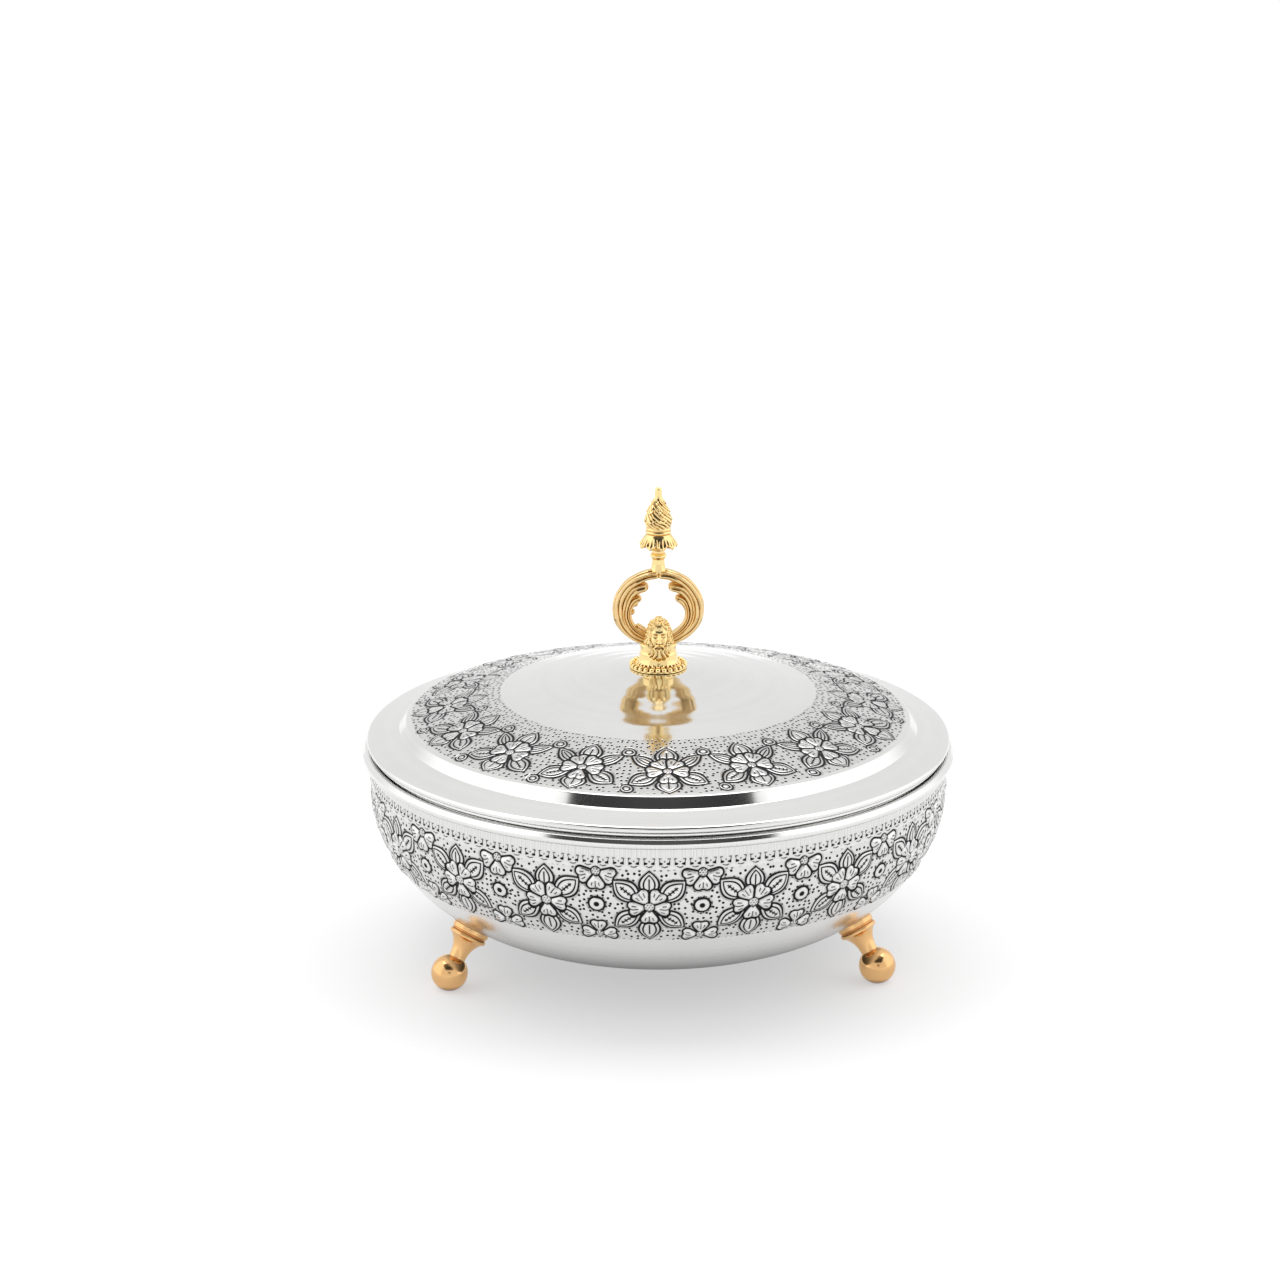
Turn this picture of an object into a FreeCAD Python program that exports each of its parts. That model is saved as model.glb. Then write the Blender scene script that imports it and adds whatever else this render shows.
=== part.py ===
import FreeCAD, Part
import math
import os

# Covered candy bowl: a spun bowl on three turned feet, with a spun lid that lifts off by a cast knob.
# Millimetres, +Z up. The origin lies on the table under the bowl's axis, and the front faces -Y.

# Sheet, wire and general clearances
sheet = 0.8  # wall of bowl and lid
wire_clearance = 0.4  # between the rim's wire and the curl around it
curl_gap = 0.2  # between the edge of a curl and the sheet beside it
seat_clearance = 0.1  # between pieces that are brazed or screwed together
overrun = 1.0  # by which a cut passes the face that it starts from

# Bowl
rim_radius = 100.0  # over the rolled rim
rim_curl_radius = 0.95  # inside the curl
base_radius = 40.0  # flat bottom
wall_height = 50.0  # curved part of the wall, from the bottom up
neck_height = 10.5  # straight part, up to the middle of the rim's bead

# Feet, measured along each foot's own axis, which stands square to the wall
foot_seat_radius = 73.6  # from the bowl's axis to where a foot's axis meets the wall
foot_length = 16.42  # from the wall to the middle of the ball
ball_radius = 6.15
ball_flat = 0.6  # depth of the flat that stands on the table
ankle_radius = 2.85
foot_ring_radius = 6.4
foot_ring_height = 1.7
collar_radius = 6.3
collar_height = 2.1
collar_fillet = 0.7
trumpet_waist_shares = (0.24, 0.46)  # of the way in to the ankle's radius, and of the way down to it

# Screws, washers and their holes, alike for the feet and the knob
screw_radius = 2.0
screw_reach = 6.0  # into the tapped hole
thread_clearance = 0.05
tip_clearance = 0.6  # below the screw's end
hole_clearance = 0.2  # around the screw, in the sheet and the washers
head_radius = 3.6
head_height = 1.9
slot_width = 0.9
slot_depth = 0.8
foot_washer_radius = 4.8
foot_washer_height = 0.9
knob_washer_radius = 7.0
knob_washer_height = 0.8

# Lid
lid_inset = 1.55  # of the lid's edge inside the bowl's rim, seen from above
lid_curl_radius = 0.4  # inside the curl
lid_rest_gap = 0.3  # between the seat ring and the top of the rim
seat_sheet = 1.0
seat_inset = 1.1  # of the seat ring inside the lid's edge
skirt_clearance = 0.5  # between the skirt and the bowl's neck
skirt_depth = 6.5
flange_width = 10.9  # from the lid's edge to the foot of its step
flange_rise = 2.15
step_run = 2.65
step_rise = 3.4
step_fillet = 0.6  # inside the bend at the step's foot
shoulder_fillet = 0.2  # inside the bend at the step's top
dome_rise = 16.7  # from the shoulder to the flat land under the knob
dome_bulge = 1.6  # by which the dome's two tangents cross above a straight cone
land_margin = 0.5  # of the flat land around the knob
land_fillet = 6.0
bend_share = 0.45  # of the shorter run that a wide bend takes up

# Knob foot: flange, cove and bell
flange_radius = 7.75
flange_height = 1.6
bell_radius = 6.3
bell_waist_radius = 6.0
cove_height = 2.2
bell_height = 9.0  # over all, without its rounded top
bell_crown = 2.0
pearl_radius = 1.0
pearl_wire_radius = 0.6
pearl_gap = 0.05

# Mask on the bell
mask_half_width = 4.45
mask_half_height = 8.0
mask_middle = 10.6  # above the knob's underside
mask_reach = 4.2  # from the knob's axis to the mask's own axis

# Ring of two leaves
ring_middle = 20.2  # above the knob's underside
ring_half_width = 15.4
ring_rise = 14.1
ring_drop = 12.2
ring_depth = 6.0  # front to back
ring_fillet = 1.9
# Inner outline of a leaf, from the top of the ring down: shares of ring_half_width and ring_rise
leaf_apex_share = 0.81
leaf_upper_tip_shares = (0.21, 0.64)
leaf_notch_shares = (0.345, 0.50)
leaf_lower_tip_shares = (0.385, 0.365)
leaf_belly_shares = (0.60, 0.03)
leaf_heel_shares = (0.44, -0.35)

# Bud on the ring
bud_neck_radius = 2.4
bud_neck_height = 8.6  # from the top of the ring to the underside of the leafy collar
bud_collar_radius = 6.6
bud_collar_height = 2.6
bud_collar_edge = 1.2
bud_waist_radius = 4.2
bud_waist_height = 1.8
bud_belly_radius = 4.9
bud_belly_height = 8.4
bud_shoulder_radius = 2.9
bud_tip_radius = 1.2
bud_tip_height = 6.6
bud_belly_share = 0.42  # of the belly's height at which it is widest

# Values that follow
foot_names = ("front_right", "rear", "front_left")
first_foot_azimuth = -30.0
foot_step = 360.0 / len(foot_names)

bead_radius = rim_curl_radius + sheet
neck_inner = rim_radius - 2 * bead_radius
neck_outer = neck_inner + sheet
curve_width = neck_outer - base_radius
seat_angle = math.acos((foot_seat_radius - base_radius) / curve_width)
seat_height = wall_height * (1 - math.sin(seat_angle))
lean = math.atan2(math.cos(seat_angle) / curve_width, math.sin(seat_angle) / wall_height)
base_z = ball_radius - ball_flat + foot_length * math.cos(lean) - seat_height
neck_z = base_z + wall_height
rim_z = neck_z + neck_height

seat_z = rim_z + bead_radius + lid_rest_gap
lid_edge_radius = rim_radius - lid_inset
lid_bead_radius = lid_curl_radius + sheet
lid_bead_middle = lid_edge_radius - lid_bead_radius
lid_bead_z = seat_z + seat_sheet + seat_clearance + lid_bead_radius
step_foot_radius = lid_edge_radius - flange_width
step_foot_z = lid_bead_z + lid_bead_radius + flange_rise
shoulder_radius = step_foot_radius - step_run
shoulder_z = step_foot_z + step_rise
land_radius = flange_radius + 2 * pearl_radius + land_margin
land_z = shoulder_z + dome_rise
screw_hole_radius = screw_radius + hole_clearance
tapped_radius = screw_radius + thread_clearance

pieces = {}


# Drawing in the XZ plane and turning about Z
def spot(x, z):
    return FreeCAD.Vector(x, 0, z)


def straight(a, b):
    return Part.LineSegment(a, b).toShape()


def bow(a, through, b):
    return Part.Arc(a, through, b).toShape()


def on_circle(middle, radius, degrees):
    angle = math.radians(degrees)
    return middle + spot(radius * math.cos(angle), radius * math.sin(angle))


def arc_about(middle, radius, start, end):
    return bow(*(on_circle(middle, radius, angle) for angle in (start, (start + end) / 2, end)))


def quarter_ellipse(middle, width, height):
    """A quarter ellipse between middle + width along X and middle + height along Z; height may be negative."""
    side = middle + spot(width, 0)
    end = middle + spot(0, height)
    if width < abs(height):
        side, end = end, side
    return Part.ArcOfEllipse(Part.Ellipse(side, end, middle), 0, math.pi / 2).toShape()


def cap_arc(corner, crown):
    """The arc from corner up to crown, which lies on the Z axis and where the arc is level."""
    width = corner.x
    height = crown.z - corner.z
    radius = (width**2 + height**2) / (2 * height)
    middle = crown - spot(0, radius)
    corner_angle = math.degrees(math.atan2(corner.z - middle.z, width))
    return arc_about(middle, radius, corner_angle, 90)


def run_of(points):
    return [straight(a, b) for a, b in zip(points, points[1:])]


def half_turn_at(before, corner, after):
    return (math.pi - (before - corner).getAngle(after - corner)) / 2


def widest_bend(before, corner, after):
    shorter = min((before - corner).Length, (after - corner).Length)
    return bend_share * shorter / math.tan(half_turn_at(before, corner, after))


def rounded_run(points, radii):
    """Edges along points, with an arc of each given radius at the inner points; a radius is limited by its runs."""
    edges = []
    last = points[0]
    for before, corner, after, radius in zip(points, points[1:], points[2:], radii):
        radius = min(radius, widest_bend(before, corner, after))
        half = half_turn_at(before, corner, after)
        to_before = (before - corner).normalize()
        to_after = (after - corner).normalize()
        inward = (to_before + to_after).normalize()
        start = corner + to_before * (radius * math.tan(half))
        end = corner + to_after * (radius * math.tan(half))
        middle = corner + inward * (radius / math.cos(half) - radius)
        edges += [straight(last, start), bow(start, middle, end)]
        last = end
    return edges + [straight(last, points[-1])]


def below(points, distance):
    """The points moved to a run parallel to theirs, on the side that lies below a run towards -X."""
    sides = []
    for a, b in zip(points, points[1:]):
        along = (b - a).normalize()
        sides.append(spot(-along.z, along.x))
    moved = [points[0] + sides[0] * distance]
    for corner, one, other in zip(points[1:], sides, sides[1:]):
        moved.append(corner + (one + other) * (distance / (1 + one.dot(other))))
    return moved + [points[-1] + sides[-1] * distance]


def turned(edges):
    """The solid that a closed outline makes when it turns about Z."""
    face = Part.Face(Part.Wire(Part.sortEdges(edges)[0]))
    return face.revolve(FreeCAD.Vector(), FreeCAD.Vector(0, 0, 1), 360)


def cylinder(radius, bottom, top):
    return Part.makeCylinder(radius, top - bottom, spot(0, bottom))


# Bowl: one sheet with a flat bottom, a wall of elliptical section, a neck and a rim rolled out round a wire
def bowl_filling(grow):
    """The space inside the bowl's outer surface up to the neck, moved out by grow."""
    middle = spot(base_radius, neck_z)
    bottom = spot(0, base_z - grow)
    top = spot(0, neck_z)
    edges = [quarter_ellipse(middle, curve_width + grow, -(wall_height + grow))]
    edges += run_of([spot(base_radius, base_z - grow), bottom, top, middle + spot(curve_width + grow, 0)])
    return turned(edges)


def make_bowl():
    middle = spot(base_radius, neck_z)
    bead = spot(neck_inner + bead_radius, rim_z)
    curl_end = -math.degrees(math.acos(-(rim_curl_radius - curl_gap) / bead_radius))
    edges = [
        quarter_ellipse(middle, curve_width - sheet, -(wall_height - sheet)),
        quarter_ellipse(middle, curve_width, -wall_height),
        straight(spot(neck_inner, neck_z), spot(neck_inner, rim_z)),
        straight(spot(neck_outer, neck_z), spot(neck_outer, rim_z)),
        arc_about(bead, bead_radius, 180, curl_end),
        arc_about(bead, rim_curl_radius, 180, curl_end),
        straight(on_circle(bead, bead_radius, curl_end), on_circle(bead, rim_curl_radius, curl_end)),
    ]
    inside = spot(base_radius, base_z + sheet)
    outside = spot(base_radius, base_z)
    edges += run_of([inside, spot(0, base_z + sheet), spot(0, base_z), outside])
    pieces["bowl_shell"] = turned(edges)
    pieces["bowl_rim_wire"] = Part.makeTorus(bead.x, rim_curl_radius - wire_clearance, spot(0, rim_z))


# Screws and washers
def screw(under_head, end):
    """A domed slotted screw along Z, its head above under_head and its shank down to end."""
    corner = spot(head_radius, under_head)
    crown = spot(0, under_head + head_height)
    shank = [spot(screw_radius, under_head), spot(screw_radius, end), spot(0, end)]
    edges = [cap_arc(corner, crown)] + run_of([corner, *shank, crown])
    slot = Part.makeBox(2 * head_radius, slot_width, head_height)
    slot.translate(FreeCAD.Vector(-head_radius, -slot_width / 2, under_head + head_height - slot_depth))
    return turned(edges).cut(slot)


# Feet: collar, foot, washer and screw on one axis, whose Z points into the bowl from the wall's outer surface
def at_seat(shape, azimuth):
    seat = spot(foot_seat_radius, base_z + seat_height)
    tilt = FreeCAD.Rotation(FreeCAD.Vector(0, 1, 0), -math.degrees(lean))
    spin = FreeCAD.Rotation(FreeCAD.Vector(0, 0, 1), azimuth)
    placed = shape.copy()
    placed.Placement = FreeCAD.Placement(FreeCAD.Vector(), spin) * FreeCAD.Placement(seat, tilt)
    return placed


def plain_foot():
    top = -collar_height
    ring_bottom = top - foot_ring_height
    ring_middle_height = (top + ring_bottom) / 2
    trumpet_radius = foot_ring_radius - foot_ring_height / 2
    ankle_height = -(foot_length - math.sqrt(ball_radius**2 - ankle_radius**2))
    inward, down = trumpet_waist_shares
    waist = spot(
        trumpet_radius + (ankle_radius - trumpet_radius) * (1 - inward),
        ring_bottom + (ankle_height - ring_bottom) * down,
    )
    ankle = spot(ankle_radius, ankle_height)
    toe = spot(0, -foot_length - ball_radius)
    edges = [
        bow(spot(trumpet_radius, top), spot(foot_ring_radius, ring_middle_height), spot(trumpet_radius, ring_bottom)),
        bow(spot(trumpet_radius, ring_bottom), waist, ankle),
        bow(ankle, spot(ball_radius, -foot_length), toe),
    ]
    edges += run_of([toe, spot(0, top), spot(trumpet_radius, top)])
    tapped = cylinder(tapped_radius, top - screw_reach - tip_clearance, top + overrun)
    return turned(edges).cut(tapped)


def plain_collar():
    corner = spot(collar_radius - collar_fillet, -collar_height + collar_fillet)
    low = spot(corner.x, -collar_height)
    side = spot(collar_radius, corner.z)
    edges = [arc_about(corner, collar_fillet, -90, 0)]
    edges += run_of([side, spot(collar_radius, sheet), spot(0, sheet), spot(0, -collar_height), low])
    return turned(edges).cut(cylinder(screw_hole_radius, -collar_height - overrun, sheet + overrun))


def make_feet():
    under_head = sheet + foot_washer_height
    below_table = Part.makeBox(2 * rim_radius, 2 * rim_radius, rim_radius)
    below_table.translate(FreeCAD.Vector(-rim_radius, -rim_radius, -rim_radius))
    outside = bowl_filling(seat_clearance)
    inside = bowl_filling(-sheet - seat_clearance)
    drill = cylinder(screw_hole_radius, -overrun, under_head + overrun)
    washer = cylinder(foot_washer_radius, 0, under_head).cut(drill)
    for number, name in enumerate(foot_names):
        azimuth = first_foot_azimuth + number * foot_step
        pieces["bowl_shell"] = pieces["bowl_shell"].cut(at_seat(drill, azimuth))
        pieces["foot_" + name] = at_seat(plain_foot(), azimuth).cut(below_table)
        pieces["foot_collar_" + name] = at_seat(plain_collar(), azimuth).cut(outside)
        pieces["foot_washer_" + name] = at_seat(washer, azimuth).common(inside)
        pieces["foot_screw_" + name] = at_seat(screw(under_head, -collar_height - screw_reach), azimuth)


# Lid: one sheet with a flat land, a dome, a step and a flange whose edge is rolled under
def make_lid():
    bead = spot(lid_bead_middle, lid_bead_z)
    step_foot = spot(step_foot_radius, step_foot_z)
    to_bead = bead - step_foot
    fall = math.atan2(-to_bead.z, to_bead.x) - math.asin(lid_bead_radius / to_bead.Length)
    curl_start = 90 - math.degrees(fall)
    curl_end = -180
    flange_edge = on_circle(bead, lid_bead_radius, curl_start)
    shoulder = spot(shoulder_radius, shoulder_z)
    land_edge = spot(land_radius, land_z)
    across = (land_edge - shoulder).normalize()
    crossing = (shoulder + land_edge) * 0.5 + spot(across.z, -across.x) * dome_bulge
    dome_radius = widest_bend(shoulder, crossing, land_edge)
    top = [flange_edge, step_foot, shoulder, crossing, land_edge, spot(screw_hole_radius, land_z)]
    top_radii = [step_fillet, shoulder_fillet + sheet, dome_radius, land_fillet]
    under = below(top, sheet)
    under_radii = [step_fillet + sheet, shoulder_fillet, dome_radius - sheet, land_fillet - sheet]
    edges = rounded_run(top, top_radii) + rounded_run(under, under_radii)
    edges += [
        straight(top[-1], under[-1]),
        arc_about(bead, lid_bead_radius, curl_start, curl_end),
        arc_about(bead, lid_curl_radius, curl_start, curl_end),
        straight(on_circle(bead, lid_bead_radius, curl_end), on_circle(bead, lid_curl_radius, curl_end)),
    ]
    pieces["lid_shell"] = turned(edges)


def make_seat_ring():
    skirt_outer = neck_inner - skirt_clearance
    skirt_inner = skirt_outer - seat_sheet
    seat_outer = lid_edge_radius - seat_inset
    skirt_bottom = seat_z - skirt_depth
    outline = [
        spot(skirt_inner, seat_z + seat_sheet),
        spot(seat_outer, seat_z + seat_sheet),
        spot(seat_outer, seat_z),
        spot(skirt_outer, seat_z),
        spot(skirt_outer, skirt_bottom),
        spot(skirt_inner, skirt_bottom),
    ]
    pieces["lid_seat_ring"] = turned(run_of(outline + outline[:1]))


# Knob: bell on a beaded flange, a mask on its front, two leaves that form a ring, and a bud
def plain_bell(grow):
    """The bell on its flange, with its sides and top moved out by grow."""
    flange_top = land_z + flange_height
    bell_foot = spot(bell_radius + grow, flange_top + cove_height)
    shoulder = spot(bell_radius + grow, land_z + bell_height)
    waist = spot(bell_waist_radius + grow, (bell_foot.z + shoulder.z) / 2)
    crown = spot(0, shoulder.z + bell_crown + grow)
    flange_edge = spot(flange_radius + grow, flange_top)
    cove = bell_foot + (flange_edge - bell_foot) * 0.5
    cove_bow = spot(cove.x - (flange_radius - bell_radius) / 4, cove.z - cove_height / 8)
    edges = [
        bow(flange_edge, cove_bow, bell_foot),
        bow(bell_foot, waist, shoulder),
        cap_arc(shoulder, crown),
    ]
    edges += run_of([crown, spot(0, land_z), spot(flange_radius + grow, land_z), flange_edge])
    return turned(edges)


def plain_mask(grow):
    """An upright egg on the front of the bell, grown by grow."""
    middle = spot(0, land_z + mask_middle)
    top = spot(0, middle.z + mask_half_height + grow)
    bottom = spot(0, middle.z - mask_half_height - grow)
    edges = [
        quarter_ellipse(middle, mask_half_width + grow, mask_half_height + grow),
        quarter_ellipse(middle, mask_half_width + grow, -mask_half_height - grow),
        straight(top, bottom),
    ]
    egg = turned(edges)
    egg.translate(FreeCAD.Vector(0, -mask_reach, 0))
    return egg


def make_knob_foot():
    under_lid = land_z - sheet
    bell = plain_bell(0)
    pieces["knob_base"] = bell.cut(cylinder(tapped_radius, land_z - overrun, land_z + screw_reach + tip_clearance))
    pieces["knob_mask"] = plain_mask(0).cut(plain_bell(seat_clearance))

    pearl_circle = flange_radius + seat_clearance + pearl_radius
    pearl_z = land_z + pearl_radius
    ring = Part.makeTorus(pearl_circle, pearl_wire_radius, spot(0, pearl_z))
    pearl_count = int(math.pi / math.asin((pearl_radius + pearl_gap / 2) / pearl_circle))
    pearls = []
    for number in range(pearl_count):
        pearl = Part.makeSphere(pearl_radius, spot(pearl_circle, pearl_z))
        pearl.rotate(FreeCAD.Vector(), FreeCAD.Vector(0, 0, 1), number * 360 / pearl_count)
        pearls.append(pearl)
    pieces["knob_bead_ring"] = ring.multiFuse(pearls)

    washer_bottom = under_lid - knob_washer_height
    washer = cylinder(knob_washer_radius, washer_bottom, under_lid)
    pieces["knob_washer"] = washer.cut(cylinder(screw_hole_radius, washer_bottom - overrun, under_lid + overrun))
    upright = screw(-washer_bottom, -land_z - screw_reach)
    upright.rotate(FreeCAD.Vector(), FreeCAD.Vector(1, 0, 0), 180)
    pieces["knob_screw"] = upright


def leaf_spot(shares):
    across, up = shares
    return spot(across * ring_half_width, land_z + ring_middle + up * ring_rise)


def half_turn(shape):
    turned_round = shape.copy()
    turned_round.rotate(FreeCAD.Vector(), FreeCAD.Vector(0, 0, 1), 180)
    return turned_round


def make_leaves():
    middle = spot(0, land_z + ring_middle)
    apex = leaf_spot((0, leaf_apex_share))
    root = leaf_spot((0, leaf_heel_shares[1]))
    upper_tip, notch, lower_tip, belly, heel = (
        leaf_spot(shares)
        for shares in (
            leaf_upper_tip_shares,
            leaf_notch_shares,
            leaf_lower_tip_shares,
            leaf_belly_shares,
            leaf_heel_shares,
        )
    )
    edges = [
        quarter_ellipse(middle, ring_half_width, ring_rise),
        quarter_ellipse(middle, ring_half_width, -ring_drop),
        bow(lower_tip, belly, heel),
    ]
    edges += run_of([middle + spot(0, ring_rise), apex, upper_tip, notch, lower_tip])
    edges += run_of([heel, root, middle - spot(0, ring_drop)])
    outline = Part.Face(Part.Wire(Part.sortEdges(edges)[0]))
    outline.translate(FreeCAD.Vector(seat_clearance / 2, -ring_depth / 2, 0))
    leaf = outline.extrude(FreeCAD.Vector(0, ring_depth, 0))
    curved = [edge for edge in leaf.Edges if edge.Curve.TypeId == "Part::GeomEllipse"]
    leaf = leaf.makeFillet(min(ring_fillet, bend_share * ring_depth), curved)
    foot = plain_bell(seat_clearance).fuse(plain_mask(seat_clearance))
    pieces["knob_leaf_right"] = leaf.cut(foot)
    pieces["knob_leaf_left"] = half_turn(leaf).cut(foot)


def make_bud():
    ring_top = land_z + ring_middle + ring_rise
    collar_z = ring_top + bud_neck_height
    neck_foot = spot(bud_neck_radius, ring_top - ring_fillet)
    neck_top = spot(bud_neck_radius, collar_z - bud_collar_edge)
    collar_low = spot(bud_collar_radius, collar_z)
    collar_high = spot(bud_collar_radius, collar_z + bud_collar_edge)
    waist = spot(bud_waist_radius, collar_z + bud_collar_height + bud_waist_height)
    belly = spot(bud_belly_radius, waist.z + bud_belly_share * bud_belly_height)
    shoulder = spot(bud_shoulder_radius, waist.z + bud_belly_height)
    tip_foot = spot(bud_tip_radius, shoulder.z + bud_tip_height - bud_tip_radius)
    tip = spot(0, tip_foot.z + bud_tip_radius)
    flare = spot(bud_waist_radius + (bud_collar_radius - bud_waist_radius) / 4, collar_high.z + bud_waist_height)
    edges = [
        bow(collar_high, flare, waist),
        bow(waist, belly, shoulder),
        cap_arc(tip_foot, tip),
    ]
    edges += run_of([shoulder, tip_foot])
    edges += run_of([tip, spot(0, neck_foot.z), neck_foot, neck_top, collar_low, collar_high])
    bud = turned(edges)
    for name in ("knob_leaf_right", "knob_leaf_left"):
        raised = pieces[name].copy()
        raised.translate(spot(0, seat_clearance))
        bud = bud.cut(raised)
    pieces["knob_bud"] = max(bud.Solids, key=lambda solid: solid.Volume)


make_bowl()
make_feet()
make_lid()
make_seat_ring()
make_knob_foot()
make_leaves()
make_bud()

os.makedirs("parts", exist_ok=True)
for name, shape in pieces.items():
    shape.exportStep(os.path.join("parts", name + ".step"))
    box = shape.BoundBox
    print(name, len(shape.Solids), "solid", round(shape.Volume, 1), "mm3, z", round(box.ZMin, 2), round(box.ZMax, 2))
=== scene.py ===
import math

import bmesh
import bpy
import numpy as np
from mathutils import Matrix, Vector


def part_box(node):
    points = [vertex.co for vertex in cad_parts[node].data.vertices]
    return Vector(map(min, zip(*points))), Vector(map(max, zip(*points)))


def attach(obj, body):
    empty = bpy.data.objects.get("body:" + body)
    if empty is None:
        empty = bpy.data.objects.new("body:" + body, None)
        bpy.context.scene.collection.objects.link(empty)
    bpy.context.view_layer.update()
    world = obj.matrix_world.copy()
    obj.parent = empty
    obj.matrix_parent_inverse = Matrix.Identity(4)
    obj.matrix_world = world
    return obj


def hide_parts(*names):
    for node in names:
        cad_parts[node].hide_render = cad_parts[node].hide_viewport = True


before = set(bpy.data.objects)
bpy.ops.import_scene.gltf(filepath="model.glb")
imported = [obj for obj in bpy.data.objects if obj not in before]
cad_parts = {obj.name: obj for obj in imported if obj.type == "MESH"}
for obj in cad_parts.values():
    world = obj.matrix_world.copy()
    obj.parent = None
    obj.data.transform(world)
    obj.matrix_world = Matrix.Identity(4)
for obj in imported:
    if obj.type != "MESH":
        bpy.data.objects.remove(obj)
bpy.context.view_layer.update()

# Bowl: a disc of brass sheet, spun to a flat bottom, a curved wall and a straight neck, and silvered. Flowers
# are raised on the wall from behind and outlined from the front, and the ground between them is punched and
# blackened. The rim is rolled outward over a wire. All sizes are in millimetres.
mm = 0.001


def box_of(node):
    """A node's lowest and highest corners."""
    return [np.array(corner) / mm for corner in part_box(node)]


bowl_low, bowl_high = box_of("bowl_shell")
rim_radius = bowl_high[0]
sheet_wall = 0.8
bead_radius = 1.75
base_radius = 40.0
wall_height = 50.0
base_z = bowl_low[2]
neck_z = base_z + wall_height
rim_z = bowl_high[2] - bead_radius
neck_inner = rim_radius - 2 * bead_radius
neck_outer = neck_inner + sheet_wall
plain_columns = 330
seam_angle = math.radians(90)
flower_count = 18
flower_angle = math.radians(-94.5)
band_columns = flower_count * 110
band_rows = 116
band_top = 2.7  # below the middle of the rim's bead, along the wall
border_top = 4.9
band_bottom = 37.0
band_margin = 0.4
bead_margin = 0.1
flower_down = 22.0
band_radius = 95.0
no_line = 3.0  # a distance that stands for no chased line near by


def ring_angles(columns):
    return seam_angle + np.arange(columns) * 2 * math.pi / columns


def circle_points(radius, height, columns):
    """A ring of points about the bowl's axis; radius and height may vary round it."""
    angles = ring_angles(columns)
    return np.stack([radius * np.cos(angles), radius * np.sin(angles), np.full(columns, height)], 1)


def spun_rings(run, columns):
    """The rings that a run of radii and heights makes about the axis, one point where it meets the axis."""
    return [circle_points(radius, height, columns if radius else 1) for radius, height in run]


def arc_run(middle, width, height, start, end, count):
    """Radius and height along an arc of an ellipse about middle, from one angle in degrees to another."""
    angles = np.radians(np.linspace(start, end, count))
    return np.stack([middle[0] + width * np.cos(angles), middle[1] + height * np.sin(angles)], 1)


def lengths_along(run):
    """How far along a run each of its points lies."""
    return np.concatenate([[0], np.cumsum(np.hypot(*np.diff(run, axis=0).T))])


def points_at(run, places):
    """Points of a run at lengths along it."""
    lengths = lengths_along(run)
    return np.stack([np.interp(places, lengths, run[:, axis]) for axis in (0, 1)], 1)


def unit(ways):
    return ways / np.linalg.norm(ways, axis=-1, keepdims=True)


def left_of(ways):
    """The directions square to the given ones, on their left."""
    return np.stack([-ways[..., 1], ways[..., 0]], -1)


def normals_at(run, places, step):
    """Normals on the left of a run at lengths along it, from each point and one a step further."""
    return left_of(unit(points_at(run, places + step) - points_at(run, places)))


def skin_rings(name, *shells):
    """A smooth mesh over rows of rings, closed where a row ends with its first ring.

    A ring has one point, as many as its neighbour, or a whole number of times that."""
    points = []
    faces = []
    for rings in shells:
        pairs = list(zip(range(len(rings)), range(1, len(rings))))
        if rings[-1] is rings[0]:
            rings = rings[:-1]
            pairs[-1] = (len(rings) - 1, 0)
        starts = np.cumsum([sum(map(len, points))] + [len(ring) for ring in rings])
        points += rings
        for one, other in pairs:
            few, many = sorted((one, other), key=lambda number: len(rings[number]))
            least, most = len(rings[few]), len(rings[many])
            step = most // least
            for place in range(least if least > 1 else most):
                if least == 1:
                    faces.append((starts[few], starts[many] + place, starts[many] + (place + 1) % most))
                    continue
                across = [starts[many] + (place * step + extra) % most for extra in range(step + 1)]
                faces.append((starts[few] + (place + 1) % least, starts[few] + place, *across))
    mesh = bpy.data.meshes.new(name)
    mesh.from_pydata((np.concatenate(points) * mm).tolist(), [], [tuple(map(int, face)) for face in faces])
    shape = bmesh.new()
    shape.from_mesh(mesh)
    bmesh.ops.recalc_face_normals(shape, faces=shape.faces)
    shape.to_mesh(mesh)
    shape.free()
    mesh.shade_smooth()
    piece = bpy.data.objects.new(name, mesh)
    bpy.context.scene.collection.objects.link(piece)
    return piece


def keep_values(piece, name, values):
    """Stores one number for each point of the piece's mesh, for its material."""
    layer = piece.data.attributes.new(name, "FLOAT", "POINT")
    layer.data.foreach_set("value", np.asarray(values, np.float32))


def read_values(items, field, width, kind):
    """One field of all points, edges, faces or corners of a mesh, as rows of the given width."""
    values = np.empty(width * len(items), kind)
    items.foreach_get(field, values)
    return values.reshape(-1, width)


def smooth_step(low, high, value):
    """From 0 to 1, softly, as the value goes from low to high; falling where low is above high."""
    share = np.clip((value - low) / (high - low), 0, 1)
    return share * share * (3 - 2 * share)


def round_corner(one, other, radius):
    """The larger of two distances, with the corner between their shapes rounded."""
    share = np.clip(0.5 + 0.5 * (one - other) / radius, 0, 1)
    return other + (one - other) * share + radius * share * (1 - share)


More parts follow.
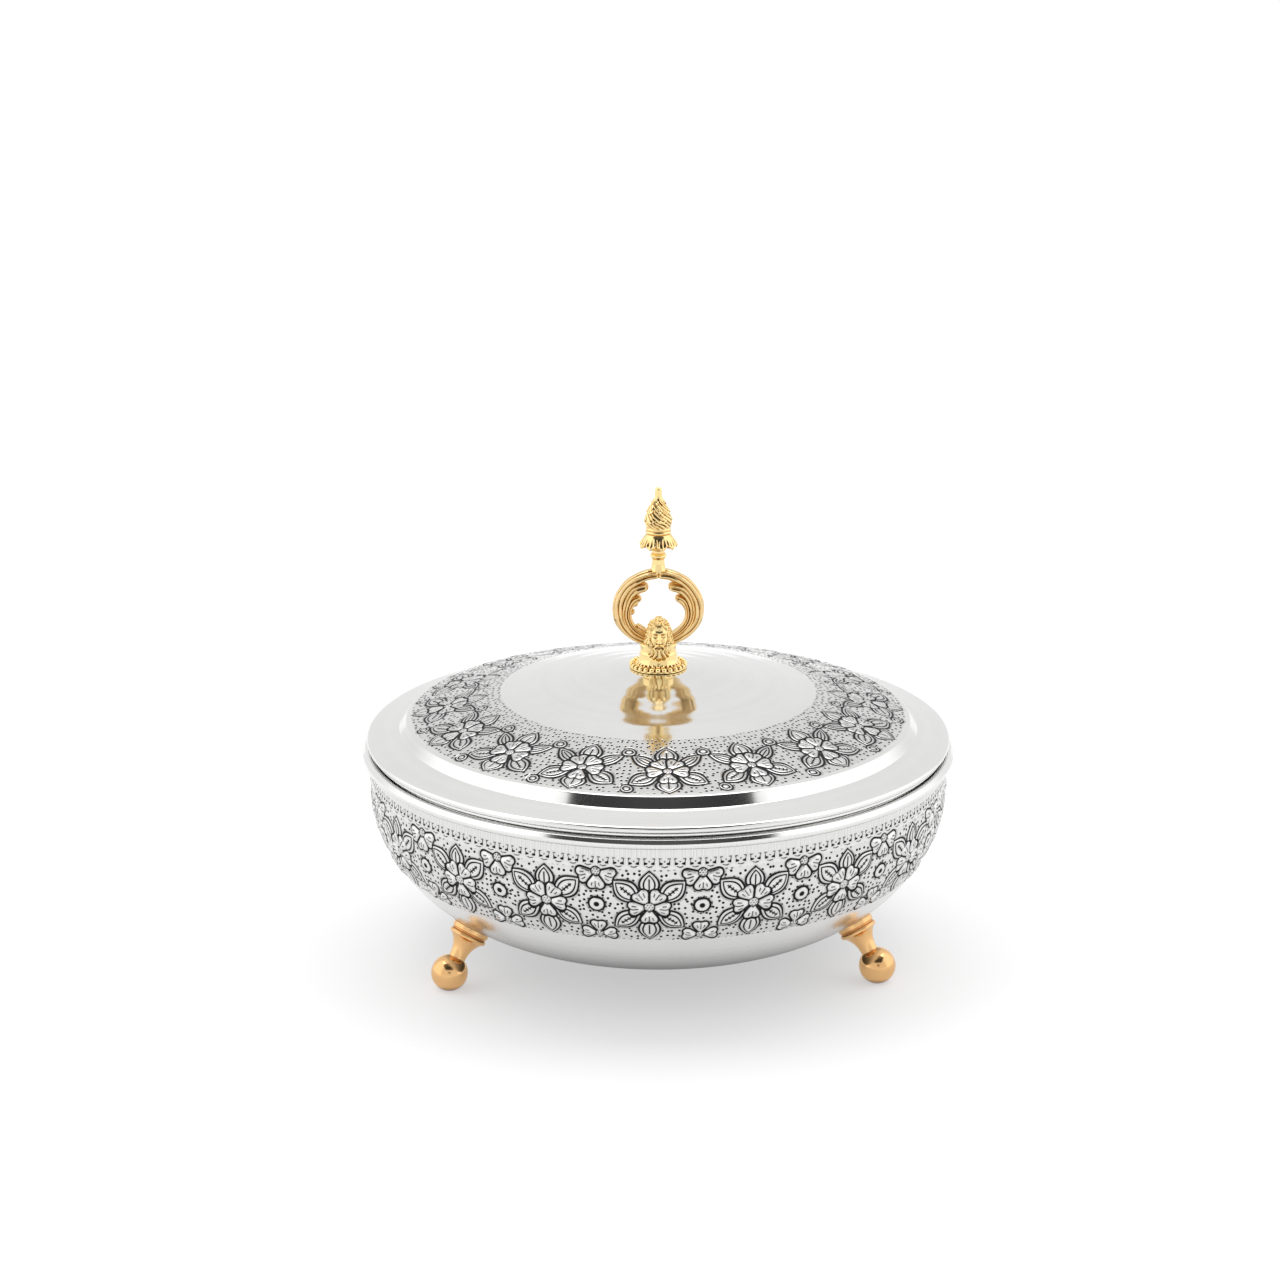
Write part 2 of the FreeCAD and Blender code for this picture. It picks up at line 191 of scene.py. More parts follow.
class Chasing:
    """Chased work on a patch of sheet, whose places are x and y; shapes are laid one over another.

    It keeps the relief, the distance from the nearest blackened line, and how bare the ground is."""

    def __init__(self, x, y, depth, weight):
        self.x, self.y = x, y
        self.depth, self.weight = depth, weight
        self.relief = np.zeros_like(x)
        self.line = np.full_like(x, no_line)
        self.ground = np.ones_like(x)

    def from_place(self, place):
        """Distance and direction of all points from a place."""
        x, y = self.x - place[0], self.y - place[1]
        return np.hypot(x, y), np.arctan2(y, x)

    def lay(self, distance, outline, inner_line, rise, slope):
        """A shape raised inside distance 0, with an outline of a half width, lines on it and a slope."""
        inside = distance < 0
        edge = np.abs(distance) - outline * self.weight
        self.line = np.where(inside, np.minimum(edge, inner_line), np.minimum(edge, self.line))
        self.relief = np.where(inside, self.depth * rise * smooth_step(0, slope, -distance), self.relief)
        self.ground = np.minimum(self.ground, smooth_step(0.1, 0.5, distance))

    def leaf(self, root, tip, half_width, toothed):
        """A pointed leaf with a line along its edge and a vein, which short teeth cross on a toothed leaf."""
        way = np.subtract(tip, root)
        length = np.hypot(*way)
        along = ((self.x - root[0]) * way[0] + (self.y - root[1]) * way[1]) / length**2
        across = ((self.y - root[1]) * way[0] - (self.x - root[0]) * way[1]) / length
        inner = np.clip(along, 0, 1)
        width = half_width * np.sin(math.pi * inner**1.2) ** 0.95
        past = np.abs(along - inner) * length
        steepness = 0.9
        distance = np.where(past > 0, np.hypot(past, across), (np.abs(across) - width) * steepness)
        edge_inset, edge_line, vein_line, tooth_line = 1.2, 0.26, 0.24, 0.2
        tooth_pitch, tooth_reach = 1.3, 0.8
        border = np.where(along > 0.15, np.abs(distance + edge_inset) - edge_line, no_line)
        in_vein = (along > 0.36) & (along < 0.76)
        vein = np.where(in_vein, np.abs(across) - vein_line, no_line)
        if toothed:
            tooth = np.abs((along * length) % tooth_pitch - tooth_pitch / 2) - tooth_line
            vein = np.minimum(vein, np.where(in_vein & (np.abs(across) < tooth_reach), tooth, no_line))
        self.lay(distance, outline=0.32, inner_line=np.minimum(border, vein), rise=0.55, slope=1.3)

    def petal(self, root, heading, length, half_angle):
        """A heart-shaped petal with three strokes on it."""
        reach, turn = self.from_place(root)
        turn = (turn - math.radians(heading) + math.pi) % (2 * math.pi) - math.pi
        half = math.radians(half_angle)
        notch_share, notch_half, side_share = 0.11, 0.17, 0.13
        corner_radius, stroke_line = 1.6, 0.18
        notch = notch_share * np.exp(-((turn / notch_half) ** 2))
        end = length * (1 - notch - side_share * (turn / half) ** 2)
        side = reach * np.sin(np.clip(np.abs(turn) - half, -math.pi / 2, math.pi / 2))
        strokes = np.full_like(reach, no_line)
        for lean, first, last in ((0.0, 0.45, 0.82), (0.26, 0.55, 0.78), (-0.26, 0.55, 0.78)):
            on_stroke = (reach > first * length) & (reach < last * length)
            stroke = np.abs(reach * np.sin(turn - lean)) - stroke_line
            strokes = np.minimum(strokes, np.where(on_stroke, stroke, no_line))
        distance = round_corner(reach - end, side, corner_radius)
        self.lay(distance, outline=0.3, inner_line=strokes, rise=0.85, slope=1.5)

    def eye(self, middle, radius, ticks):
        """A disc with a dark pupil and a ring of short ticks round it."""
        reach, turn = self.from_place(middle)
        tick_line, tick_start, tick_end, pupil_share = 0.24, 0.2, 0.85, 0.34
        tick = np.abs((turn / (2 * math.pi) * ticks) % 1 - 0.5) * reach * 2 * math.pi / ticks - tick_line
        near = (reach > radius + tick_start) & (reach < radius + tick_end)
        self.line = np.minimum(self.line, np.where(near, tick, no_line))
        self.lay(reach - radius, outline=0.34, inner_line=reach - pupil_share * radius, rise=0.45, slope=0.8)

    def ringlet(self, middle, radius):
        """A disc with a ring chased on it."""
        ring_share, ring_line = 0.52, 0.28
        reach = self.from_place(middle)[0]
        ring = np.abs(reach - ring_share * radius) - ring_line
        self.lay(reach - radius, outline=0.26, inner_line=ring, rise=0.4, slope=0.7)

    def stippled_disc(self, middle, radius):
        """The heart of a flower, with a dot in its middle and six round it."""
        dot_radius = 0.24
        dots = np.full_like(self.x, no_line)
        for count, ring in ((1, 0.0), (6, 0.58)):
            for number in range(count):
                angle = 2 * math.pi * number / count
                dot = middle[0] + ring * radius * math.cos(angle), middle[1] + ring * radius * math.sin(angle)
                dots = np.minimum(dots, self.from_place(dot)[0] - dot_radius)
        self.lay(self.from_place(middle)[0] - radius, outline=0.2, inner_line=dots, rise=0.6, slope=0.7)

    def flower(self, middle, headings, length, half_angle, disc_radius):
        """Petals round a stippled disc. A whole flower, not a half one, is dark where its petals meet."""
        hollow_share, hollow_line = 0.36, 0.2
        if len(headings) > 3:
            hollow = self.from_place(middle)[0] - hollow_share * length
            self.line = np.minimum(self.line, np.maximum(hollow, -hollow_line))
        for heading in headings:
            self.petal(middle, heading, length, half_angle)
        self.stippled_disc(middle, disc_radius)


def chase_border(work, width, count, top):
    """A row of cup-shaped punch marks under the neck, each with a dot in its mouth and a scallop below."""
    cup_height, mouth_up, mouth_aside, mouth_half, mouth_line = 2.9, 2.6, 1.4, 0.5, 0.17
    cheek_up, cheek_aside, cheek_flare, cheek_line = 0.8, 1.35, 0.2, 0.15
    wedge_up, wedge_inner, wedge_outer, wedge_line, wedge_flare = 0.95, 0.5, 1.7, 0.2, 0.26
    dot_up, dot_radius = 1.7, 0.26
    scallop_up, scallop_radius, scallop_top, scallop_line = 1.4, 1.6, 0.2, 0.17
    pitch = width / count
    across = np.abs((work.x + width / 2) % pitch - pitch / 2)
    up = work.y - (top - cup_height)
    corner = np.maximum(np.abs(across - mouth_aside) - mouth_half, np.abs(up - mouth_up) - mouth_line)
    cheek = np.abs(across - cheek_aside - cheek_flare * (up - cheek_up)) - cheek_line
    cheek = np.where((up > cheek_up) & (up < mouth_up), cheek, no_line)
    wedge = np.abs(up - wedge_up) - wedge_line - wedge_flare * (across - wedge_inner)
    wedge = np.maximum(wedge, np.maximum(wedge_inner - across, across - wedge_outer))
    dot = np.hypot(across, up - dot_up) - dot_radius
    scallop = np.abs(np.hypot(across, up - scallop_up) - scallop_radius) - scallop_line
    scallop = np.where(up < scallop_top, scallop, no_line)
    work.line = np.minimum.reduce([work.line, corner, cheek, wedge, dot, scallop])


def chase_bowl_cell(x, y):
    """One repeat of the bowl's band: a flower, and half flowers and an eye at each side of it."""
    work = Chasing(x, y, depth=0.7, weight=1.0)
    half = math.pi * band_radius / flower_count
    top = flower_down - border_top
    chase_border(work, 2 * half, count=7, top=top)
    ground_top, ground_bottom = top - 3.6, -14.9
    work.ground *= smooth_step(0, 0.8, ground_top - y) * smooth_step(0, 0.6, y - ground_bottom)
    for side in (-half, half):
        work.eye((side, 0.4), radius=2.6, ticks=11)
        work.flower((side, 12.1), (200, 340, 270), length=6.7, half_angle=36, disc_radius=1.5)
        work.flower((side, -12.2), (176, 4, 90), length=6.3, half_angle=36, disc_radius=1.4)
    for flip in (-1, 1):
        work.leaf((flip * 1.8, -1.0), (flip * 11.2, -8.4), half_width=3.3, toothed=True)
        work.leaf((flip * 2.0, 1.0), (flip * 11.2, 9.3), half_width=3.6, toothed=True)
    work.leaf((0, 2.4), (0, 12.6), half_width=3.1, toothed=False)
    work.leaf((0, -3.0), (0, -14.3), half_width=3.5, toothed=False)
    work.flower((0, 0), (124, 56, 190, 350, 270), length=7.2, half_angle=33, disc_radius=1.7)
    return work


def chased_rings(points, normals, ups, columns, count, first_angle, radii, chase):
    """Rings of a band whose relief repeats count times, with the values that its material reads."""
    angles = ring_angles(columns)
    step = 2 * math.pi / count
    offset = (angles - first_angle + step / 2) % step - step / 2
    x = np.outer(np.broadcast_to(radii, len(ups)), offset)
    y = np.repeat(ups[:, None], columns, 1)
    work = chase(x, y)
    line_depth = 0.2
    ends = smooth_step(0, 1.0, np.minimum(y - y.min(), y.max() - y))
    relief = (work.relief - line_depth * smooth_step(0.15, -0.2, work.line)) * ends
    rings = []
    for point, normal, raised in zip(points, normals, relief):
        out = point[0] + raised * normal[0]
        up = point[1] + raised * normal[1]
        rings.append(circle_points(out, up, columns))
    return rings, work.line, work.ground


def unroll(piece, radius, downs):
    """A map of the sheet in millimetres, with its seam at the back, for punched dots and fine marks."""
    mesh = piece.data
    corners = read_values(mesh.loops, "vertex_index", 1, np.int32)[:, 0]
    places = read_values(mesh.vertices, "co", 3, np.float32)
    around = ((np.arctan2(places[:, 1], places[:, 0]) - seam_angle) % (2 * math.pi))[corners]
    starts = read_values(mesh.polygons, "loop_start", 1, np.int32)[:, 0]
    face = np.repeat(np.arange(len(starts)), np.diff(np.append(starts, len(corners))))
    over_seam = np.maximum.reduceat(around, starts)[face] > 1.5 * math.pi
    around = np.where(over_seam & (around < 0.5 * math.pi), around + 2 * math.pi, around)
    flat = np.stack([around * radius, np.asarray(downs)[corners]], 1)
    layer = mesh.uv_layers.new(name="unrolled")
    layer.data.foreach_set("uv", flat.astype(np.float32).ravel())


class Finish:
    """The nodes of a material or of the light round the object.

    Each call adds a node and gives its result. What goes into one is a number, a colour or another result."""

    def __init__(self, owner):
        owner.use_nodes = True
        self.owner = owner
        self.nodes = owner.node_tree.nodes
        self.links = owner.node_tree.links

    def feed(self, socket, term):
        if isinstance(term, bpy.types.NodeSocket):
            self.links.new(term, socket)
        else:
            socket.default_value = term

    def add(self, kind, result, terms=(), **settings):
        node = self.nodes.new("ShaderNode" + kind)
        for setting, value in settings.items():
            setattr(node, setting, value)
        for name, term in dict(terms).items():
            self.feed(node.inputs[name], term)
        return node.outputs[result]

    def part(self, vector, axis):
        return self.add("SeparateXYZ", axis, {"Vector": vector})

    def calculate(self, operation, *terms):
        return self.add("Math", "Value", enumerate(terms), operation=operation)

    def product(self, first, *others):
        for other in others:
            first = self.calculate("MULTIPLY", first, other)
        return first

    def largest(self, first, *others):
        for other in others:
            first = self.calculate("MAXIMUM", first, other)
        return first

    def spread(self, value, low, high, start=0.0, end=1.0, kind="LINEAR"):
        """From start to end as the value goes from low to high."""
        terms = {"Value": value, "From Min": low, "From Max": high, "To Min": start, "To Max": end}
        return self.add("MapRange", "Result", terms, interpolation_type=kind)

    def ease(self, value, low, high):
        """From 0 to 1, softly, as the value goes from low to high; falling where low is above high."""
        return self.spread(value, low, high, kind="SMOOTHSTEP")

    def blend(self, share, one, other, kind="RGBA"):
        return self.add("Mix", "Result", {"Factor": share, "A": one, "B": other}, data_type=kind)

    def grain(self, place, scale, detail, roughness=0.5):
        """Fine unevenness all over the surface."""
        terms = {"Vector": place, "Scale": scale, "Detail": detail, "Roughness": roughness}
        return self.add("TexNoise", "Fac", terms)

    def streaks(self, place, scale, detail, roughness):
        """Unevenness along one measure only, which shows as streaks across it."""
        terms = {"W": place, "Scale": scale, "Detail": detail, "Roughness": roughness}
        return self.add("TexNoise", "Fac", terms, noise_dimensions="1D")

    def dents(self, height, strength, distance, invert=False):
        terms = {"Height": height, "Strength": strength, "Distance": distance}
        return self.add("Bump", "Normal", terms, invert=invert)


def metal(name):
    """A new metal, with its surface's inputs and the place on the piece that its marks follow."""
    finish = Finish(bpy.data.materials.new(name))
    surface = finish.nodes["Principled BSDF"].inputs
    surface["Metallic"].default_value = 1.0
    return finish, surface, finish.add("TexCoord", "Object")


def silvered_sheet(name, dull, bright, smoothest, roughest, tarnish_on_shapes=None):
    """Silver plate with faint rubbing marks and, where it is chased, blackened lines, dots and tarnish."""
    finish, surface, place = metal(name)
    up = finish.part(place, "Z")
    rub = finish.grain(place, scale=90.0, detail=6.0, roughness=0.7)
    spun = finish.streaks(up, scale=900.0, detail=5.0, roughness=0.75)
    rub_weight, spun_weight, marks_level = 0.8, 1.2, -0.5
    marks = finish.calculate("MULTIPLY_ADD", rub, rub_weight, marks_level)
    plate = finish.blend(finish.calculate("MULTIPLY_ADD", spun, spun_weight, marks), dull, bright)
    polish = finish.spread(rub, 0, 1, smoothest, roughest)
    if tarnish_on_shapes is None:
        finish.feed(surface["Base Color"], plate)
        finish.feed(surface["Roughness"], polish)
        return finish.owner

    low_wall_shade, blackened = (0.09, 0.089, 0.088, 1), (0.018, 0.018, 0.019, 1)
    tarnish_on_ground, film_on_ground, unpolished_roughness = 0.55, 0.13, 0.5
    # Painted shade: the wall turns darker towards its bottom, standing in for the shadowed floor it mirrors
    # there. The same place is also left rougher.
    underside = finish.ease(up, 32 * mm, 11 * mm)
    above_wall = finish.spread(up, 60 * mm, 64 * mm)
    below_rim = finish.spread(up, 71 * mm, 69 * mm)
    line = finish.add("Attribute", "Fac", attribute_name="chased_line")
    ground = finish.add("Attribute", "Fac", attribute_name="punched_ground")
    flat = finish.add("UVMap", "UV", uv_map="unrolled")

    # Darker upright streaks on the neck: partly fine brushing marks, partly painted reflections of the room.
    upright_streaks = finish.streaks(finish.part(flat, "X"), scale=2.3, detail=4.0, roughness=0.8)
    neck_streaks = finish.product(finish.spread(upright_streaks, 0.56, 0.26, start=0.07, end=0.34), above_wall, below_rim)
    spacing = {"Vector": flat, "Scale": 0.5, "Randomness": 0.65}
    punch = finish.add("TexVoronoi", "Distance", spacing, voronoi_dimensions="2D")
    dots = finish.product(finish.ease(punch, 0.28, 0.18), ground)
    dark = finish.largest(finish.ease(line, 0.10, -0.08), dots)
    worn = finish.spread(ground, 0, 1, tarnish_on_shapes, tarnish_on_ground)
    tarnish = finish.product(finish.ease(line, 1.1, -0.1), worn)
    # Oxide film on the ground, and the neck's streaks, which are partly painted reflection.
    film_and_streaks = finish.calculate("MULTIPLY_ADD", ground, film_on_ground, neck_streaks)
    # The plate with the painted shade low on the wall.
    plate_with_low_shade = finish.blend(underside, plate, low_wall_shade)
    finish.feed(surface["Base Color"], finish.blend(finish.largest(dark, tarnish, film_and_streaks), plate_with_low_shade, blackened))

    lustre = finish.product(polish, finish.spread(below_rim, 0, 1, start=0.5))
    rough = finish.blend(finish.largest(dark, underside), lustre, unpolished_roughness, kind="FLOAT")
    finish.feed(surface["Roughness"], rough)
    finish.feed(surface["Normal"], finish.dents(dark, strength=0.5, distance=0.15 * mm, invert=True))
    return finish.owner


def chased_piece(name, before, chased, after, line, ground, downs, radius, material):
    """A spun piece with a chased band between plain rings, and the map and values that its material reads."""
    piece = skin_rings(name, before + chased + after)
    first, last = (sum(map(len, rings)) for rings in (before, after))

    def padded(start, values, end):
        return np.concatenate([np.full(first, start), values, np.full(last, end)])

    keep_values(piece, "chased_line", padded(no_line, line.ravel(), no_line))
    keep_values(piece, "punched_ground", padded(0.0, ground.ravel(), 0.0))
    unroll(piece, radius, padded(downs[0], np.repeat(downs, len(chased[0])), downs[-1]))
    piece.data.materials.append(material)
    return piece


bead_middle = (neck_inner + bead_radius, rim_z)
bead_slope = math.radians(40)
bead_slope_half = math.radians(25)
curl_end = -115.0


def rim_bead_run():
    """The rim's bead, from the bowl's mouth over its top and round, beaten flat on the slope facing out."""
    angles = np.radians(np.linspace(180, curl_end, 100))
    from_slope = angles - bead_slope
    slope = bead_radius * math.cos(bead_slope_half) / np.cos(from_slope)
    reach = np.where(np.abs(from_slope) < bead_slope_half, slope, bead_radius)
    return np.stack([bead_middle[0] + reach * np.cos(angles), bead_middle[1] + reach * np.sin(angles)], 1)


wall_curve = arc_run((base_radius, neck_z), neck_outer - base_radius, -wall_height, 0, 90, 2000)
wall = np.concatenate([[(neck_outer, rim_z)], wall_curve])
band_downs = np.linspace(band_top, band_bottom, band_rows)
chased, band_line, band_ground = chased_rings(
    points_at(wall, band_downs), normals_at(wall, band_downs, step=0.1), flower_down - band_downs,
    band_columns, flower_count, flower_angle, band_radius, chase_bowl_cell,
)
before = spun_rings(np.concatenate([
    [(0, base_z + sheet_wall), (base_radius / 2, base_z + sheet_wall)],
    arc_run((base_radius, neck_z), neck_inner - base_radius, sheet_wall - wall_height, 90, 0, 60),
    [(neck_inner, (neck_z + rim_z) / 2)],
    rim_bead_run(),
    points_at(wall, np.linspace(bead_radius + bead_margin, band_top - band_margin, 5)),
]), plain_columns)
after = spun_rings(np.concatenate([
    points_at(wall, np.linspace(band_bottom + band_margin, lengths_along(wall)[-1], 40)),
    [(base_radius / 2, base_z), (0, base_z)],
]), plain_columns)
dull_silver, bright_silver = (0.78, 0.777, 0.77, 1), (0.85, 0.848, 0.843, 1)
bowl_silver = silvered_sheet(
    "rubbed silver plate", dull_silver, bright_silver, smoothest=0.14, roughest=0.3, tarnish_on_shapes=0.2,
)
bowl = chased_piece(
    "bowl", before, chased, after, band_line, band_ground, band_downs, band_radius, bowl_silver,
)
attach(bowl, "bowl")
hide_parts("bowl_shell")


# Rim wire: a hoop of drawn steel that stiffens the bowl's mouth. The rim is rolled over it,
# so that it shows only at the narrow gap under the curl.
def plain_steel(name, colour, smoothest, roughest):
    """Bare steel with fine drawing or turning marks."""
    finish, surface, place = metal(name)
    surface["Base Color"].default_value = (*colour, 1)
    marks = finish.grain(place, scale=900.0, detail=3.0)
    finish.feed(surface["Roughness"], finish.spread(marks, 0, 1, smoothest, roughest))
    return finish.owner


def dress(node, material):
    """Gives a solid that shows as it is its material."""
    solid = bpy.data.objects[node]
    solid.data.materials.clear()
    solid.data.materials.append(material)


dress("bowl_rim_wire", plain_steel("drawn wire", (0.52, 0.52, 0.53), smoothest=0.3, roughest=0.5))

# Feet: three brass turnings, gold plated and left satin. Each is a collar that fits the wall, a ring, a leg
# that narrows like a trumpet and a ball with a small flat. A screw and a washer inside the bowl hold it.
foot_names = ("front_right", "rear", "front_left")
first_foot_angle = -30.0
foot_seat_radius = 73.6
foot_length = 16.42
ball_radius = 6.15
ankle_radius = 2.85
trumpet_power = 2.6
foot_ring_radius = 6.4
foot_ring_height = 1.7
collar_radius = 6.3
collar_height = 2.1
collar_fillet = 0.7
collar_edge = 0.35
collar_side = 0.12
thin_ring_middle = collar_radius - 0.65
thin_ring_width = 0.4
thin_ring_half = 0.25
groove_height = 0.2
wall_bend = 62.0
foot_columns = 96
curve_width = neck_outer - base_radius
seat_angle = math.acos((foot_seat_radius - base_radius) / curve_width)
seat_z = neck_z - wall_height * math.sin(seat_angle)
foot_lean = math.atan2(math.cos(seat_angle) / curve_width, math.sin(seat_angle) / wall_height)


def satin_gold(name):
    """Gold plate with a fine satin grain, uneven in tone, and darkened with painted shade where the feet
    touch the table.
    """
    dull, bright, painted_floor_shade = (0.75, 0.43, 0.18, 1), (0.88, 0.55, 0.26, 1), (0.20, 0.085, 0.03, 1)
    finish, surface, place = metal(name)
    grain = finish.grain(place, scale=1400.0, detail=4.0)
    tone = finish.blend(finish.grain(place, scale=160.0, detail=3.0), dull, bright)
    # Painted shade: darker within a few millimetres of the floor, for the contact shadow under each ball.
    floor_shade_mask = finish.spread(finish.part(place, "Z"), 2.4 * mm, 0.2 * mm)
    finish.feed(surface["Base Color"], finish.blend(floor_shade_mask, tone, painted_floor_shade))
    finish.feed(surface["Roughness"], finish.spread(grain, 0, 1, start=0.12, end=0.22))
    finish.feed(surface["Normal"], finish.dents(grain, strength=0.12, distance=0.05 * mm))
    return finish.owner


def at_seat(rings, azimuth):
    """Rings about a foot's own axis, whose Z points into the bowl, moved to the foot's seat on the wall."""
    tilt = np.array(Matrix.Rotation(-foot_lean, 3, "Y")).T
    spin = np.array(Matrix.Rotation(math.radians(azimuth), 3, "Z")).T
    return [(ring @ tilt + (foot_seat_radius, 0, seat_z)) @ spin for ring in rings]


def foot_run():
    """The foot's outline, from the middle of its top down to the middle of its ball's underside."""
    top = -collar_height
    lip_radius = foot_ring_height / 2
    trumpet_radius = foot_ring_radius - lip_radius
    ring_low = top - foot_ring_height
    ankle_z = -(foot_length - math.sqrt(ball_radius**2 - ankle_radius**2))
    down = np.linspace(0, 1, 24)
    leg_radii = ankle_radius + (trumpet_radius - ankle_radius) * (1 - down) ** trumpet_power
    trumpet = np.stack([leg_radii, ring_low + (ankle_z - ring_low) * down], 1)
    ankle_angle = math.degrees(math.asin(ankle_radius / ball_radius))
    ball = arc_run((0, -foot_length), ball_radius, ball_radius, 90 - ankle_angle, -90, 48)
    lip = arc_run((trumpet_radius, (top + ring_low) / 2), lip_radius, lip_radius, 90, -90, 18)
    return np.concatenate([[(0, top)], lip, trumpet[1:-1], ball[:-1], [(0, -foot_length - ball_radius)]])


def collar_run():
    """The collar's outline, from the middle of its underside past a thin ring and a groove up to the wall."""
    groove = collar_fillet - collar_height
    thin_ring_place = (thin_ring_middle, thin_ring_half - collar_height)
    thin_ring = arc_run(thin_ring_place, thin_ring_width, thin_ring_half, -90, 90, 10)
    edge = arc_run((collar_radius - collar_edge, groove + groove_height), collar_edge, collar_edge, -90, 0, 8)
    side = [(collar_radius, -collar_side), (collar_radius, 0)]
    return np.concatenate([[(0, -collar_height)], thin_ring, edge, side])


def onto_wall(ring):
    """Raises a ring of a collar along the foot's axis until it meets the bowl's curved wall."""
    rise = np.hypot(ring[:, 0], ring[:, 1]) ** 2 / (2 * wall_bend)
    return ring + np.outer(rise, (0, 0, 1))


gold_of_feet = satin_gold("satin gold plate")
fastener_steel = plain_steel("turned steel", (0.60, 0.60, 0.61), smoothest=0.2, roughest=0.36)
for number, name in enumerate(foot_names):
    azimuth = first_foot_angle + number * 360 / len(foot_names)
    foot_rings = at_seat(spun_rings(foot_run(), foot_columns), azimuth)
    for ring in foot_rings:
        ring[:, 2] = np.maximum(ring[:, 2], 0)
    collar_rings = spun_rings(collar_run(), foot_columns)
    collar_rings.append(onto_wall(collar_rings.pop()))
    collar_rings.append(onto_wall(circle_points(collar_radius / 2, 0, foot_columns)))
    collar_rings.append(np.zeros((1, 3)))
    foot = skin_rings("foot_of_" + name, foot_rings)
    collar = skin_rings("collar_of_" + name, at_seat(collar_rings, azimuth))
    for piece, node in ((foot, "foot_" + name), (collar, "foot_collar_" + name)):
        piece.data.materials.append(gold_of_feet)
        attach(piece, "bowl")
        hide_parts(node)
    dress("foot_washer_" + name, fastener_steel)
    dress("foot_screw_" + name, fastener_steel)

# Lid: one silvered sheet spun to a low dome, a steep step and a sloping flange whose edge is rolled under.
# A band of the same flowers, their tops towards the knob, is chased round the dome above the step.
lid_low, lid_high = box_of("lid_shell")
lid_edge = lid_high[0]
lid_bead = 1.2
lid_bead_place = np.array([lid_edge - lid_bead, lid_low[2] + lid_bead])
flange_width = 10.9
flange_rise = 2.15
step_run = 2.65
step_rise = 3.4
step_fillet = 0.6
shoulder_round = 1.0
land_radius = 10.25
land_round = 6.0
dome_bulge = 1.6
dome_share = 0.45
step_foot = np.array([lid_edge - flange_width, lid_low[2] + 2 * lid_bead + flange_rise])
shoulder = step_foot + (-step_run, step_rise)
land_edge = np.array([land_radius, lid_high[2]])
lid_columns = 256
lid_flower_count = 16
lid_flower_angle = math.radians(-90.4)
lid_flower_radius = 71.0
lid_band_inner = 51.0
lid_band_outer = 84.0
lid_band_columns = lid_flower_count * 112
lid_band_rows = 112
ripple_height = 0.03
ripple_width = 8.5
ripples_inner = 10.0
ripples_outer = lid_band_inner - 1.0
ripples_inner_ease = 4.0
ripples_outer_ease = 5.0
dome_margin = 0.5


def eased_run(points, radii):
    """The points as one run, with an arc of the given radius in place of each inner corner."""
    run = [points[0]]
    for before_it, corner, after_it, radius in zip(points, points[1:], points[2:], radii):
        back, on = unit(before_it - corner), unit(after_it - corner)
        turn = math.pi - math.acos(np.clip(back @ on, -1, 1))
        middle = corner + unit(back + on) * radius / math.cos(turn / 2)
        start = corner + back * radius * math.tan(turn / 2) - middle
        end = corner + on * radius * math.tan(turn / 2) - middle
        for share in np.linspace(0, 1, 13):
            reach = start * math.sin((1 - share) * turn) + end * math.sin(share * turn)
            run.append(middle + reach / math.sin(turn))
    return np.array(run + [points[-1]])


def hold_straights(run):
    """The run with a point near each end of its long straights, which smooth shading then leaves flat."""
    margin = 0.12
    held = [run[0]]
    for here, there in zip(run, run[1:]):
        length = np.hypot(*(there - here))
        if length > 1:
            held += [here + (there - here) * margin / length, there - (there - here) * margin / length]
        held.append(there)
    return np.array(held)


def chase_lid_cell(x, y):
    """One repeat of the lid's band: a flower, with ringlets beside it, near the knob and near the step."""
    work = Chasing(x, y, depth=0.22, weight=1.2)
    ground_top, ground_bottom = 18.8, -12.9
    work.ground *= smooth_step(0, 1.0, ground_top - y) * smooth_step(0, 0.5, y - ground_bottom)
    ringlet_radius, ringlet_up, ringlet_down, ringlet_aside = 2.2, 10.6, -10.2, 2.4
    half_above = math.pi * (lid_flower_radius - ringlet_up) / lid_flower_count
    half_below = math.pi * (lid_flower_radius - ringlet_down) / lid_flower_count
    for flip in (-1, 1):
        work.leaf((flip * 2.0, 0.6), (flip * 11.2, 8.6), half_width=2.7, toothed=False)
        work.leaf((flip * 1.8, -1.0), (flip * 12.9, -7.8), half_width=3.5, toothed=True)
        work.ringlet((flip * half_above, ringlet_up), ringlet_radius)
    work.ringlet((ringlet_aside - half_below, ringlet_down), ringlet_radius)
    work.leaf((0, 1.6), (0, 13.6), half_width=3.7, toothed=False)
    work.leaf((0, -2.6), (0, -12.5), half_width=4.2, toothed=False)
    work.flower((0, 0), (120, 60, 186, 354, 270), length=7.5, half_angle=34, disc_radius=1.6)
    return work


to_bead = lid_bead_place - step_foot
flange_fall = math.atan2(-to_bead[1], to_bead[0]) - math.asin(lid_bead / np.hypot(*to_bead))
roll_start = 90 - math.degrees(flange_fall)
flange_edge = lid_bead_place + lid_bead * np.array([math.sin(flange_fall), math.cos(flange_fall)])
dome_crossing = (shoulder + land_edge) / 2 - dome_bulge * left_of(unit(land_edge - shoulder))
dome_turn = math.acos(unit(dome_crossing - shoulder) @ unit(land_edge - dome_crossing))
dome_radius = dome_share * np.hypot(*(dome_crossing - shoulder)) / math.tan(dome_turn / 2)
lid_corners = [flange_edge, step_foot, shoulder, dome_crossing, land_edge, np.array([0.0, land_edge[1]])]
lid_run = hold_straights(eased_run(lid_corners, [step_fillet, shoulder_round, dome_radius, land_round]))
under_run = lid_run + sheet_wall * left_of(unit(np.gradient(lid_run, axis=0)))
under_run[-1, 0] = 0
outward_run = lid_run[np.argsort(lid_run[:, 0])]


def outward_places(radii):
    """Lengths along the lid from its middle out to the given radii."""
    return np.interp(radii, outward_run[:, 0], lengths_along(outward_run))


